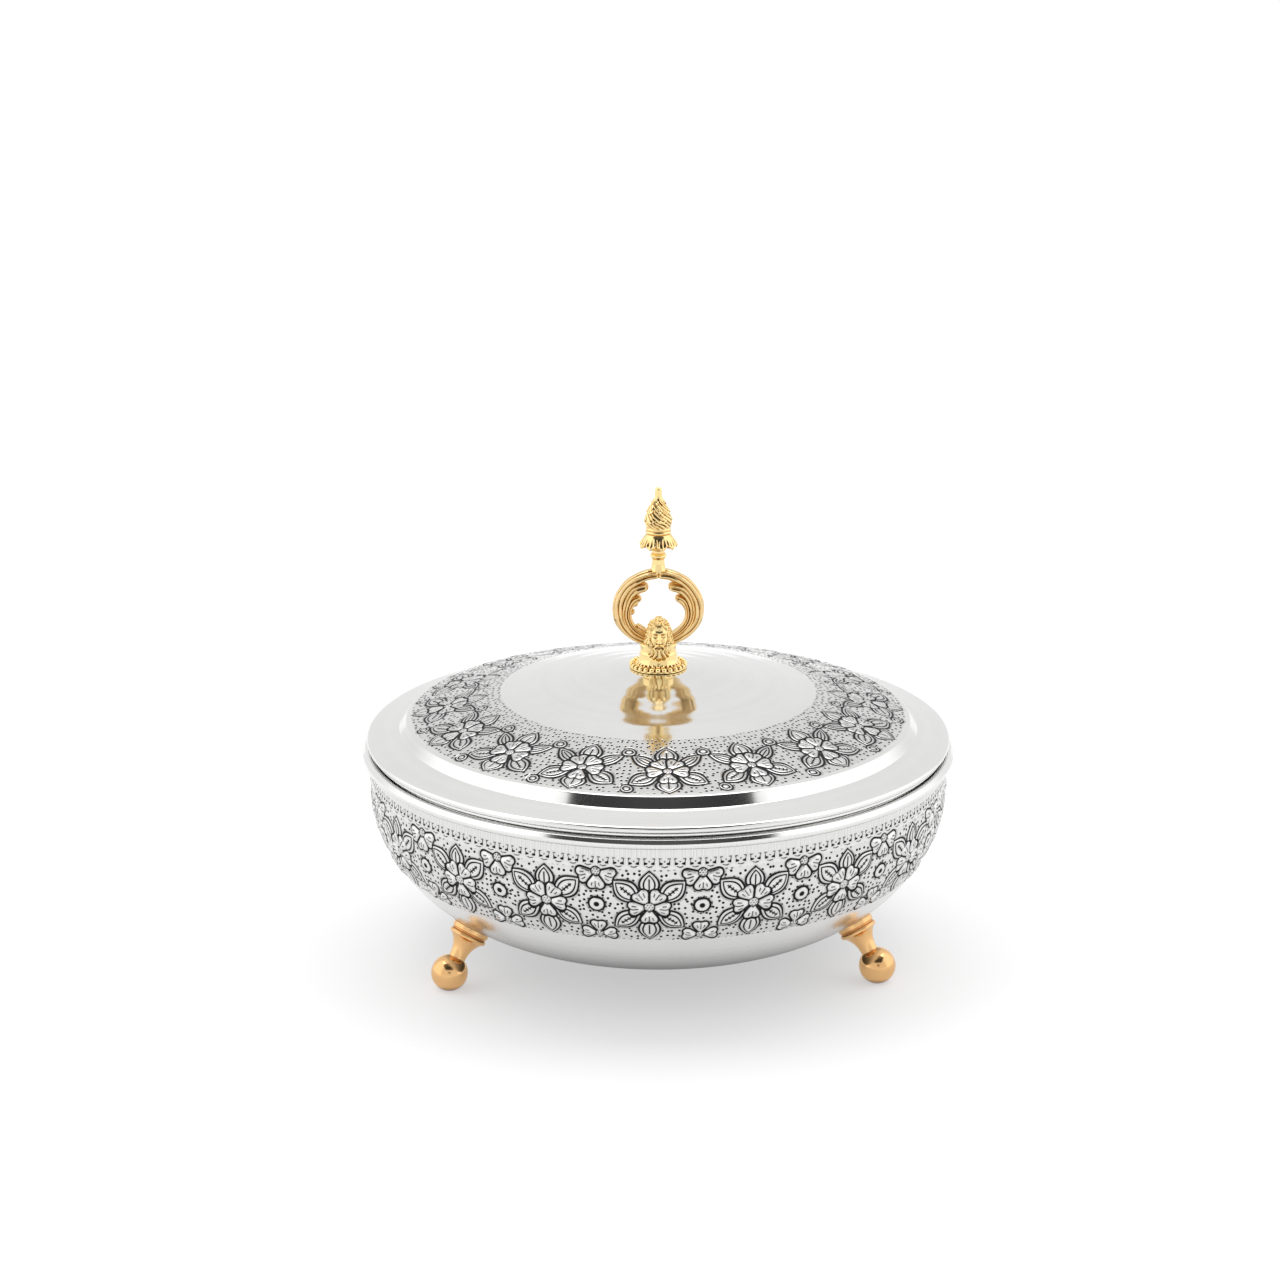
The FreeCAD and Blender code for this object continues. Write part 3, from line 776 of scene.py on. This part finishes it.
lid_band_radii = np.linspace(lid_band_inner, lid_band_outer, lid_band_rows)
lid_places = outward_places(lid_band_radii)
lid_chased, lid_line, lid_ground = chased_rings(
    points_at(outward_run, lid_places), normals_at(outward_run, lid_places, step=0.2),
    outward_places(lid_flower_radius) - lid_places,
    lid_band_columns, lid_flower_count, lid_flower_angle, lid_band_radii, chase_lid_cell,
)
middle_radii = np.linspace(0, lid_band_inner - dome_margin, 64)
middle_run = points_at(outward_run, outward_places(middle_radii))
rippled = smooth_step(ripples_inner, ripples_inner + ripples_inner_ease, middle_radii)
rippled *= smooth_step(ripples_outer, ripples_outer - ripples_outer_ease, middle_radii)
middle_run[:, 1] += ripple_height * rippled * np.sin(2 * math.pi * middle_radii / ripple_width)
before = spun_rings(middle_run, lid_columns)
after = spun_rings(np.concatenate([
    lid_run[lid_run[:, 0] > lid_band_outer + band_margin][::-1],
    arc_run(lid_bead_place, lid_bead, lid_bead, roll_start, -180, 40),
    arc_run(lid_bead_place, lid_bead - sheet_wall, lid_bead - sheet_wall, -180, roll_start, 24),
    under_run[1:],
]), lid_columns)
lid_dull, lid_bright = (0.735, 0.732, 0.725, 1), (0.8, 0.798, 0.793, 1)
lid_silver = silvered_sheet(
    "bright silver plate", lid_dull, lid_bright, smoothest=0.11, roughest=0.28, tarnish_on_shapes=0.32,
)
lid = chased_piece(
    "lid", before, lid_chased, after, lid_line, lid_ground, lid_places, lid_flower_radius, lid_silver,
)
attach(lid, "lid")
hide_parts("lid_shell")

# Seat ring: a flanged skirt of the same silvered metal, brazed under the lid's edge, with rounded edges.
# It rests on the bowl's rim, keeps the lid central in the mouth and shows as a thin line under the lid.
seat_low, seat_high = box_of("lid_seat_ring")
seat_sheet = 1.0
seat_edge = 0.45
seat_bevel = 0.15
seat_fillet = 0.3
skirt_gap = 0.5
seat_outer, seat_top = seat_high[0], seat_high[2]
seat_under = seat_top - seat_sheet
skirt_outer = neck_inner - skirt_gap
skirt_round = seat_sheet / 2
seat_run = hold_straights(np.concatenate([
    [(skirt_outer - seat_sheet, seat_top)],
    arc_run((seat_outer - seat_bevel, seat_top - seat_bevel), seat_bevel, seat_bevel, 90, 0, 6),
    arc_run((seat_outer - seat_edge, seat_under + seat_edge), seat_edge, seat_edge, 0, -90, 12),
    arc_run((skirt_outer + seat_fillet, seat_under - seat_fillet), seat_fillet, seat_fillet, 90, 180, 6),
    arc_run((skirt_outer - skirt_round, seat_low[2] + skirt_round), skirt_round, skirt_round, 0, -180, 16),
]))
seat_rings = spun_rings(seat_run, plain_columns)
seat_ring = skin_rings("seat_ring", seat_rings + seat_rings[:1])
seat_silver = silvered_sheet("plain silver plate", dull_silver, bright_silver, smoothest=0.1, roughest=0.2)
seat_ring.data.materials.append(seat_silver)
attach(seat_ring, "lid")
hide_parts("lid_seat_ring")

# Knob foot: a bell on a round flange, cast in brass and gold plated, held to the lid by a screw from below.
# A ring of pearls, cast with it, runs round the flange. The plating is bright on what stands out and brown in
# the recesses, partly the casting's patina and partly painted shade; the pearls' gaps and undersides are
# painted shade.
knob_z = box_of("knob_base")[0][2]
flange_radius = 7.75
flange_height = 1.6
flange_bevel = 0.4
flange_round = 0.5
flange_shelf = 0.2
bell_radius = 6.3
bell_waist = 6.0
bell_height = 9.0
bell_flare = 3.6
bell_shoulder = 1.3
bell_shoulder_drop = 1.0
bell_gap = 0.1
bell_crown = 1.9
scallop_depth = 0.22
scallop_inset = 0.3
scallop_fade = 0.5
pearl_count = 27
pearl_radius = 1.0
pearl_circle = 8.85
pearl_columns = 24
pearl_wire_radius = 0.5
pearl_plate_up = 0.4
knob_columns = 216


def cast_gold(name, dull, bright):
    """Slightly uneven yellow gold plate on a casting; its hollows orange to brown, partly patina, partly
    painted shade.
    """
    finish, surface, place = metal(name)
    hollow_patina_and_shade = finish.add("Attribute", "Fac", attribute_name="hollow_patina_and_shade")
    uneven = finish.grain(place, scale=420.0, detail=5.0)
    colour = finish.blend(uneven, (*dull, 1), (*bright, 1))
    # Painted shade in the hollows, orange where they are shallow and brown where they are deep, over the
    # casting's patina there.
    for start, end, hollow_shade_colour in ((0.0, 0.5, (0.72, 0.36, 0.10, 1)), (0.4, 1.0, (0.10, 0.045, 0.012, 1))):
        colour = finish.blend(finish.spread(hollow_patina_and_shade, start, end), colour, hollow_shade_colour)
    finish.feed(surface["Base Color"], colour)
    finish.feed(surface["Roughness"], finish.spread(uneven, 0, 1, start=0.08, end=0.2))
    finish.feed(surface["Normal"], finish.dents(uneven, strength=0.18, distance=0.08 * mm))
    return finish.owner


def find_recesses(piece, depth, rounds):
    """Stores how far each point lies in a hollow of its piece, from its neighbours and its normal."""
    mesh = piece.data
    count = len(mesh.vertices)
    points = read_values(mesh.vertices, "co", 3, float) / mm
    normals = read_values(mesh.vertices, "normal", 3, float)
    one, other = read_values(mesh.edges, "vertices", 2, np.int32).T
    beside = np.bincount(one, minlength=count) + np.bincount(other, minlength=count)

    def around(values):
        total = np.bincount(one, values[other], count) + np.bincount(other, values[one], count)
        return total / np.maximum(beside, 1)

    smooth = points
    for _ in range(rounds):
        smooth = np.stack([around(smooth[:, axis]) for axis in range(3)], 1)
    hollow = ((smooth - points) * normals).sum(1)
    keep_values(piece, "hollow_patina_and_shade", smooth_step(0.15 * depth, depth, hollow))


def gild(piece, node, gold):
    """Makes a piece of the knob stand for its node."""
    piece.data.materials.append(gold)
    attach(piece, "lid")
    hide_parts(node)


gold_of_knob = cast_gold("bright gold plate", (0.90, 0.64, 0.25), (0.97, 0.79, 0.42))
flange_top = knob_z + flange_height
bell_top = knob_z + bell_height
shelf_radius = flange_radius - flange_shelf
bell_shoulder_place = (bell_radius - bell_shoulder, bell_top - bell_shoulder_drop)
waist = np.stack([
    bell_radius - (bell_radius - bell_waist) * np.sin(np.linspace(0, math.pi, 30)),
    np.linspace(flange_top + bell_flare + bell_gap, bell_top - bell_shoulder_drop - bell_gap, 30),
], 1)
bell_run = np.concatenate([
    [(0, knob_z), (flange_radius / 2, knob_z), (flange_radius - flange_bevel, knob_z)],
    [(flange_radius, knob_z + flange_bevel)],
    arc_run((flange_radius - flange_round, flange_top - flange_round), flange_round, flange_round, 0, 80, 8),
    arc_run((shelf_radius, flange_top + bell_flare), shelf_radius - bell_radius, bell_flare, 265, 180, 20),
    waist,
    arc_run(bell_shoulder_place, bell_shoulder, bell_shoulder, 5, 62, 8),
    arc_run((0, bell_top - bell_crown), bell_radius - bell_gap, 2 * bell_crown, 57, 90, 12)[:-1],
    [(0, bell_top + bell_crown)],
])
bell_rings = spun_rings(bell_run, knob_columns)
for ring, (r, z) in zip(bell_rings, bell_run):
    if r > bell_radius + scallop_inset:
        angles = np.arctan2(ring[:, 1], ring[:, 0])
        near_top = math.exp(-(((z - flange_top) / scallop_fade) ** 2))
        scallop = scallop_depth * np.cos(pearl_count * angles) * near_top
        ring[:, :2] *= (1 + scallop / r)[:, None]
        ring[:, 2] += scallop / 2
bell = skin_rings("knob_bell", bell_rings)
find_recesses(bell, depth=0.12, rounds=12)
gild(bell, "knob_base", gold_of_knob)


def hoop_rings(height, half_width, half_height):
    """A bar of oval section bent to a closed hoop under the pearls."""
    section = arc_run((pearl_circle, height), half_width, half_height, 0, 360, 13)
    rings = spun_rings(section[:-1], knob_columns)
    return rings + rings[:1]


pearl_z = knob_z + pearl_radius
pearl_run = arc_run((0, 0), pearl_radius, pearl_radius, -90, 90, 15)
pearl_run[[0, -1], 0] = 0
round_pearl = spun_rings(pearl_run, pearl_columns)
pearl_shells = []
pearl_shade = []
for number in range(pearl_count):
    angle = 2 * math.pi * number / pearl_count
    outward = np.array([math.cos(angle), math.sin(angle), 0])
    beside = np.array([-outward[1], outward[0], 0]) / pearl_radius
    pearl_shells.append([ring + pearl_circle * outward + (0, 0, pearl_z) for ring in round_pearl])
    # Painted shade: each pearl is darker on the sides that face its neighbours and on its underside.
    for ring in round_pearl:
        between = smooth_step(0.62, 0.97, np.abs(ring @ beside))
        pearl_shade.append(np.maximum(between, 0.6 * smooth_step(-0.5, -1.0, ring[:, 2] / pearl_radius)))
pearl_wire = hoop_rings(pearl_z, pearl_wire_radius, pearl_wire_radius)
pearl_plate = hoop_rings(knob_z + pearl_plate_up, half_width=0.85, half_height=0.36)
pearls = skin_rings("knob_pearls", pearl_wire, pearl_plate, *pearl_shells)
hoop_points = sum(map(len, pearl_wire[:-1]))
# The wire under the pearls is painted fully dark as shade; the plate under it is not darkened.
keep_values(pearls, "hollow_patina_and_shade", np.concatenate([np.ones(hoop_points), np.zeros(hoop_points), *pearl_shade]))
gild(pearls, "knob_bead_ring", gold_of_knob)

# Mask: a bearded head cast on the front of the bell, with curled hair and a long beard.
# The face is a plain, calm one of its own on common proportions: eyes half way up the head, five eyes across.
mask_low, mask_high = box_of("knob_mask")
mask_z = (mask_low[2] + mask_high[2]) / 2
mask_half_height = (mask_high[2] - mask_low[2]) / 2
mask_half_width = mask_high[0]
mask_reach = -mask_low[1] - mask_half_width
mask_columns = 260
mask_rows = 240
mask_sink = 0.42
face_half_width = 3.4
face_half_height = 4.4
face_middle = 0.9
curl_rows = 7
lowest_curls = -1.2
highest_curls = 0.985 * mask_half_height
curl_margin = 0.75
curl_pitch = 1.85
curl_thread = 0.95
lock_width = 1.5
strand_width = 0.5


def from_face(x, z):
    """0 in the middle of the face's oval and 1 at its edge."""
    return np.hypot(x / face_half_width, (z - face_middle) / face_half_height)


def face_relief(x, z):
    """Brow, eyes, nose, cheeks, lips and moustache; x is across the face and z up from its middle."""
    side = np.abs(x)
    eye_x, eye_z, nose_z, mouth_z = 1.42, 1.9, -0.5, -1.6
    swellings = (  # height, place across and up, half width, half height
        (0.32, 1.3, eye_z + 1.05, 1.3, 0.42),  # brow
        (-0.62, eye_x, eye_z + 0.05, 0.85, 0.62),  # socket of the eye
        (0.42, eye_x, eye_z, 0.62, 0.36),  # eye
        (-0.16, eye_x, eye_z + 0.42, 0.8, 0.10),  # fold over the eye
        (-0.14, eye_x, eye_z - 0.40, 0.7, 0.10),  # fold under the eye
        (0.34, 0.55, nose_z + 0.05, 0.3, 0.3),  # wing of the nose
        (0.24, 1.9, 0.1, 0.9, 0.9),  # cheek
        (0.30, 0, mouth_z + 0.24, 0.95, 0.2),  # upper lip
        (0.34, 0, mouth_z - 0.28, 0.8, 0.24),  # lower lip
        (-0.26, 0, mouth_z, 1.15, 0.11),  # line of the mouth
    )
    relief = np.zeros_like(side)
    for height, across, up, half_width, half_height in swellings:
        relief += height * np.exp(-(((side - across) / half_width) ** 2) - (((z - up) / half_height) ** 2))
    nose_top = eye_z + 0.7
    down_nose = np.clip((nose_top - z) / (nose_top - nose_z), 0, 1)
    down_nose *= smooth_step(nose_z - 0.35, nose_z + 0.1, z)
    nose = (0.25 + 0.75 * down_nose) * np.exp(-((x / (0.38 + 0.22 * down_nose)) ** 2))
    relief += nose * smooth_step(nose_z - 0.4, nose_z, z) * smooth_step(eye_z + 1.3, eye_z + 0.5, z)
    droop = z - (nose_z - 0.5) + 0.5 * side + 0.14 * side**2
    strands = 1 + 0.25 * np.cos(2 * math.pi * (side * 0.9 + z * 0.5) / 0.6)
    moustache = np.exp(-((droop / 0.36) ** 2)) * smooth_step(2.7, 1.7, side) * smooth_step(0.05, 0.3, side)
    return smooth_step(1.1, 0.9, from_face(x, z)) * relief + 0.5 * moustache * strands


def beard_relief(x, z):
    """Long wavy locks that hang from the jaw, with deep gaps between them."""
    jaw_half_width, jaw_half_height, jaw_middle = face_half_width - 0.2, 3.8, 0.6
    swing, swing_rate, swing_start = 0.42, 1.55, 1.1
    beard_rise, lock_rise, strand_rise, tip_rise = 0.05, 0.6, 0.07, 0.6
    jaw = np.hypot(x / jaw_half_width, (z - jaw_middle) / jaw_half_height)
    bearded = smooth_step(0.95, 1.08, jaw) * smooth_step(0.3, -0.9, z)
    bearded = np.maximum(bearded, smooth_step(-2.4, -3.2, z))
    wave = x + swing * np.sin(swing_rate * z + swing_start * np.sign(x)) * smooth_step(0, 0.8, np.abs(x))
    locks = np.abs(np.cos(math.pi * wave / lock_width)) ** 0.7
    strands = strand_rise * np.cos(2 * math.pi * wave / strand_width)
    return bearded * (beard_rise + lock_rise * locks + strands + tip_rise * smooth_step(-3.5, -6.5, z))


def hair_relief(turn, half, z):
    """Rows of curls over the head outside the face, wound the other way round on each side."""
    hair_rise, curl_rise, thread_rise = 0.1, 0.5, 0.16
    x, out = half * np.sin(turn), half * np.cos(turn)
    curls = np.zeros_like(x)
    for row, up in enumerate(np.linspace(lowest_curls, highest_curls, curl_rows)):
        round_head = mask_half_width * math.sqrt(1 - (up / mask_half_height) ** 2)
        brow = max(0.0, 1 - ((up - face_middle) / face_half_height) ** 2)
        first = face_half_width * math.sqrt(brow) + curl_margin if brow else 0.0
        for place in np.arange(first + 0.5 * curl_pitch * (row % 2), math.pi * round_head, curl_pitch):
            for side in (-1, 1):
                sine, cosine = math.sin(side * place / round_head), math.cos(side * place / round_head)
                from_x, from_out = x - round_head * sine, out - round_head * cosine
                aside = from_x * cosine - from_out * sine
                away = np.sqrt(from_x**2 + from_out**2 + (z - up) ** 2)
                wound = np.cos(side * np.arctan2(z - up, aside) + 2 * math.pi * away / curl_thread)
                curls = np.maximum(curls, np.exp(-(away**4)) * (curl_rise + thread_rise * wound))
    haired = smooth_step(1.0, 1.12, from_face(turn * half, z)) * smooth_step(-1.9, -0.6, z)
    return haired * (hair_rise + curls)


def mask_rings():
    """The head, an egg with the relief of face, hair and beard."""
    z = mask_half_height * np.sin(np.linspace(-math.pi / 2, math.pi / 2, mask_rows))[1:-1, None]
    half = mask_half_width * np.sqrt(1 - (z / mask_half_height) ** 2)
    turn = np.linspace(-math.pi, math.pi, mask_columns, endpoint=False)[None, :]
    z, half, turn = np.broadcast_arrays(z, half, turn)
    egg = np.stack([half * np.sin(turn), -half * np.cos(turn), z], -1)
    lean = unit(egg * (1, 1, (mask_half_width / mask_half_height) ** 2))
    across = turn * half
    rise = face_relief(across, z) + beard_relief(across, z) + hair_relief(turn, half, z) - mask_sink
    middle = np.array([0, -mask_reach, mask_z])
    ends = [middle[None] + (0, 0, way * mask_half_height) for way in (-0.99, 0.99)]
    return [ends[0], *(middle + egg + rise[..., None] * lean), ends[1]]


head = skin_rings("knob_head", mask_rings())
find_recesses(head, depth=0.13, rounds=30)
gild(head, "knob_mask", gold_of_knob)

# Ring: two cast leaves that spring from the bell behind the mask, bend up on each side and meet under the
# bud. Each is three blades, one inside another, with soft grooves along them, and the inner two end in curled
# tips. The left leaf has a short blade and two small lobes more.
ring_height = 20.2
ring_z = knob_z + ring_height
ring_half_width = 15.4
ring_rise = 14.1
ring_drop = 12.2
blade_columns = 96
blade_rows = 150
blade_ridges = 6
lobe_rows = 24
lobe_length = 1.7
lobe_root = 0.4
lobe_inset = 0.03
lobe_half_depth = 1.6
lobe_half_widths = (0.95, 0.7)
lobe_heading = 165
lobe_ridges = 4
# Each blade: angles round the ring, shares of the ring's outline there, half widths there, half depth
outer_blade = ((-80, 0, 93), (0.95, 0.885, 0.88), (1.2, 1.75, 1.6), 2.9)
middle_blade = ((-74, 0, 44, 70), (0.87, 0.735, 0.71, 0.60), (0.8, 1.15, 1.7, 1.5), 2.6)
inner_blade = ((-72, 0, 20, 40), (0.78, 0.625, 0.575, 0.47), (0.6, 0.85, 1.25, 1.1), 2.2)
short_blade = ((-74, -58, -42), (0.72, 0.66, 0.65), (0.8, 1.0, 0.9), 2.0)


def on_ring(degrees, share):
    """A point of the ring's outline, drawn in by a share, as X and Z."""
    angle = np.radians(degrees)
    height = np.where(np.sin(angle) > 0, ring_rise, ring_drop)
    share = np.asarray(share)
    return np.stack([share * ring_half_width * np.cos(angle), ring_z + share * height * np.sin(angle)], -1)


def smoothed(run, rounds):
    """The run with its inner points drawn towards their neighbours, a number of times."""
    for _ in range(rounds):
        run[1:-1] = (run[:-2] + 2 * run[1:-1] + run[2:]) / 4
    return run


def blade(path, half_widths, half_depth, ridges):
    """Rings along a path in the plane of the ring: an oval bar with uneven ridges along it and round ends."""
    end_share, smallest_cap = 1.2, 1e-4
    ridge_foot, ridge_rise, ridge_sway, sway_length = 0.86, 0.24, 0.3, 3.1
    swell_rise, swell_length, swell_lean = 0.025, 7.3, 1.3
    aside = -left_of(unit(np.gradient(path, axis=0)))
    lengths = lengths_along(path)
    turn = np.arange(blade_columns) * 2 * math.pi / blade_columns
    flat = np.sign(np.cos(turn)) * np.abs(np.cos(turn)) ** 0.85
    deep = np.sign(np.sin(turn)) * np.abs(np.sin(turn)) ** 0.8
    rings = []
    for place, way, half_width, length in zip(path, aside, half_widths, lengths):
        end = min(length, lengths[-1] - length) / (end_share * half_width)
        cap = math.sqrt(max(0.0, 1 - (1 - min(end, 1.0)) ** 2))
        if cap < smallest_cap:
            rings.append(np.array([[place[0], 0, place[1]]]))
            continue
        sway = ridge_sway * math.sin(length / sway_length)
        ridge = ridge_foot + ridge_rise * np.abs(np.cos(ridges / 2 * turn + sway)) ** 0.8
        ridge += swell_rise * np.cos(2 * math.pi * length / swell_length + swell_lean * np.cos(turn))
        across = half_width * cap * flat * ridge
        depth = half_depth * cap * deep * ridge
        rings.append(np.stack([place[0] + across * way[0], depth, place[1] + across * way[1]], 1))
    return rings


def leaf_blades(blades, small_lobes):
    """The blades of the right-hand leaf, with small lobes on its inner edge at the given angles."""
    shells = []
    for angles, shares, half_widths, half_depth in blades:
        degrees = np.linspace(angles[0], angles[-1], blade_rows)
        path = smoothed(on_ring(degrees, np.interp(degrees, angles, shares)), rounds=60)
        shells.append(blade(path, np.interp(degrees, angles, half_widths), half_depth, blade_ridges))
    for degrees in small_lobes:
        root = on_ring(degrees, np.interp(degrees, inner_blade[0], inner_blade[1]) - lobe_inset)
        heading = math.radians(lobe_heading + degrees)
        step = lobe_length * np.array([math.cos(heading), math.sin(heading)])
        path = root + np.linspace(-lobe_root, 1, lobe_rows)[:, None] * step
        shells.append(blade(path, np.linspace(*lobe_half_widths, lobe_rows), lobe_half_depth, lobe_ridges))
    return shells


# The ring's gold is the knob's gold plate, made darker.
gold_of_ring = cast_gold("darker gold plate", (0.76, 0.51, 0.21), (0.85, 0.66, 0.36))
for name, way, more_blades, small_lobes in (("right", 1, [], ()), ("left", -1, [short_blade], (14, -8))):
    blades = leaf_blades([outer_blade, middle_blade, inner_blade] + more_blades, small_lobes)
    shells = [[ring * (way, way, 1) for ring in rings] for rings in blades]
    leaf = skin_rings("knob_blades_" + name, *shells)
    find_recesses(leaf, depth=0.09, rounds=8)
    gild(leaf, "knob_leaf_" + name, gold_of_ring)

# Bud: the cast crown of the knob. A short neck on the ring carries a collar of hanging leaves, two thin rings
# and a bud of overlapping leaves with slanting veins, which ends in a small blunt tip.
bud_sink = 1.0
bud_foot = ring_z + ring_rise - bud_sink
bud_columns = 192
bud_rows = 260
collar_leaves = 9
bud_leaves = 7
collar_lobe = 0.45
collar_vein = 0.12
collar_drop = 0.9
bud_start = 15.4
tier_height = 3.1
tier_arch = 0.42
tier_turn = 0.9
leaf_rise = 0.42
leaf_sink = 0.2
vein_count = 14
vein_slant = 4.6
vein_rise = 0.13
bud_outline = np.array([  # radius, height over the bud's foot
    (2.7, 0.0), (2.4, 1.2), (2.1, 3.0), (2.1, 4.6), (2.8, 5.2), (2.8, 5.9), (2.1, 6.5), (2.3, 7.8),
    (3.6, 8.6), (5.6, 9.1), (6.4, 9.5), (6.5, 10.1), (6.0, 10.8), (5.2, 11.7), (4.5, 12.6), (3.9, 13.3),
    (4.4, 13.6), (4.4, 14.1), (3.9, 14.4), (4.3, 14.7), (4.3, 15.1), (4.0, 15.4), (4.5, 16.4), (4.6, 17.6),
    (4.35, 19.0), (3.9, 20.4), (3.3, 21.8), (2.6, 23.2), (1.9, 24.4), (1.3, 25.4), (1.15, 26.4),
    (1.15, 28.0), (0.9, 28.7), (0.45, 29.0), (0.0, 29.05),
])
bud_places = np.linspace(0, lengths_along(bud_outline)[-1], bud_rows)
bud_run = smoothed(points_at(bud_outline, bud_places), rounds=6)
angles = np.arange(bud_columns) * 2 * math.pi / bud_columns
lobed = np.abs(np.cos(collar_leaves / 2 * angles))
bud_rings = [np.array([[0, 0, bud_foot]])]
for r, up in bud_run[:-1]:
    on_collar = smooth_step(8.6, 9.4, up) * smooth_step(12.6, 10.6, up)
    in_bud = smooth_step(15.2, 16.2, up) * smooth_step(25.6, 23.6, up)
    tiers_up = (up - bud_start) / tier_height
    arches = np.abs(np.sin(bud_leaves / 2 * angles + tier_turn * np.floor(tiers_up)))
    tier = (tiers_up + tier_arch * arches) % 1
    vein = np.cos(vein_count * angles + vein_slant * up)
    collar_veins = collar_vein * np.cos(3 * collar_leaves * angles)
    out = r + on_collar * (collar_lobe * lobed - collar_lobe + collar_veins)
    out += in_bud * (leaf_rise * (1 - tier) ** 1.5 - leaf_sink + vein_rise * vein)
    drop = collar_drop * on_collar * smooth_step(3.5, 6.2, r) * lobed**2
    bud_rings.append(np.stack([out * np.cos(angles), out * np.sin(angles), bud_foot + up - drop], 1))
bud_rings.append(np.array([[0, 0, bud_foot + bud_run[-1, 1]]]))
bud = skin_rings("knob_flower_bud", bud_rings)
find_recesses(bud, depth=0.08, rounds=8)
gild(bud, "knob_bud", gold_of_knob)

# Screw and washer under the lid: plain turned steel. The screw goes up through the washer and the sheet into
# the knob's foot and clamps it to the lid.
for node in ("knob_screw", "knob_washer"):
    dress(node, fastener_steel)

# Stage: a plain pale floor, a white studio and the camera at the photograph's viewing angle. The room is
# white all round, brighter at both sides and overhead, with a dark panel above the front and a dark patch
# about the camera, which the metal mirrors.
camera_distance = 1100.0
camera_height = 436.8
camera_azimuth = -2.9
camera_pitch = 16.58
camera_aside = 0.319
photo_width = 1280
focal_pixels = 3415.7
sensor_width = 36.0
floor_half = 4.0
floor_glow = 0.5
room_level, upper_gain, side_gain, overhead_gain = 0.95, 0.06, 0.45, 2.2
panel_darkness, camera_darkness = 0.96, 0.8

lens = bpy.data.cameras.new("camera")
lens.sensor_width = sensor_width
lens.lens = focal_pixels * sensor_width / photo_width
lens.clip_end = 20
camera = bpy.data.objects.new("camera", lens)
bpy.context.scene.collection.objects.link(camera)
camera_turn = math.radians(camera_azimuth)
camera.location = (
    camera_distance * mm * math.sin(camera_turn),
    -camera_distance * mm * math.cos(camera_turn),
    camera_height * mm,
)
camera.rotation_euler = (math.radians(90 - camera_pitch), 0, math.radians(camera_azimuth + camera_aside))
bpy.context.scene.camera = camera

floor_mesh = bpy.data.meshes.new("floor")
floor_corners = [(x * floor_half, y * floor_half, 0) for x, y in ((-1, -1), (1, -1), (1, 1), (-1, 1))]
floor_mesh.from_pydata(floor_corners, [], [(0, 1, 2, 3)])
floor = bpy.data.objects.new("floor", floor_mesh)
bpy.context.scene.collection.objects.link(floor)
paper = Finish(bpy.data.materials.new("white paper"))
matt = paper.nodes["Principled BSDF"]
matt.inputs["Base Color"].default_value = (0.94, 0.94, 0.94, 1)
matt.inputs["Roughness"].default_value = 0.9
matt.inputs["Specular IOR Level"].default_value = 0.0
rays = paper.nodes.new("ShaderNodeLightPath").outputs
seen = paper.largest(rays["Is Camera Ray"], rays["Is Glossy Ray"], rays["Is Transmission Ray"])
white = paper.add("Emission", "Emission", {"Color": (1, 1, 1, 1)})
shaders = {"Fac": paper.product(seen, floor_glow), 1: matt.outputs["BSDF"], 2: white}
paper.feed(paper.nodes["Material Output"].inputs["Surface"], paper.add("MixShader", "Shader", shaders))
floor_mesh.materials.append(paper.owner)

# Heights and angles from the front are in radians, and the panel's places are on a ceiling one unit up.
studio = Finish(bpy.data.worlds.new("studio"))
bpy.context.scene.world = studio.owner
toward = studio.add("TexCoord", "Generated")
x, y, z = (studio.part(toward, axis) for axis in "XYZ")
height = studio.calculate("ARCSINE", z)
aside = studio.calculate("ABSOLUTE", studio.calculate("ARCTAN2", x, studio.product(y, -1.0)))
least_upward = 0.01
upward = studio.largest(z, least_upward)
across = studio.calculate("ABSOLUTE", studio.calculate("DIVIDE", x, upward))
forward = studio.calculate("DIVIDE", y, upward)
panel_length = studio.product(studio.ease(forward, -1.42, -1.34), studio.ease(forward, -0.1, -0.2))
panel = studio.product(panel_length, studio.ease(across, 0.665, 0.65))
patch_height = studio.product(studio.ease(height, 0.21, 0.28), studio.ease(height, 0.49, 0.42))
patch = studio.product(patch_height, studio.ease(aside, 0.16, 0.10))
side_width = studio.product(studio.ease(aside, 0.79, 1.13), studio.ease(aside, 2.44, 2.01))
sides = studio.product(side_width, studio.ease(height, 1.08, 0.79))
level = studio.calculate("MULTIPLY_ADD", studio.ease(height, 0.5, 0.95), upper_gain, room_level)
level = studio.calculate("MULTIPLY_ADD", sides, side_gain, level)
level = studio.calculate("MULTIPLY_ADD", studio.ease(height, 0.9, 1.15), overhead_gain, level)
for dark_place, darkness in ((panel, panel_darkness), (patch, camera_darkness)):
    level = studio.product(level, studio.calculate("MULTIPLY_ADD", dark_place, -darkness, 1.0))
seen = studio.add("LightPath", "Is Camera Ray")
background = studio.nodes["Background"].inputs
background["Color"].default_value = (1, 1, 1, 1)
studio.feed(background["Strength"], studio.blend(seen, level, 1.0, kind="FLOAT"))

bpy.context.scene.view_settings.view_transform = "Standard"
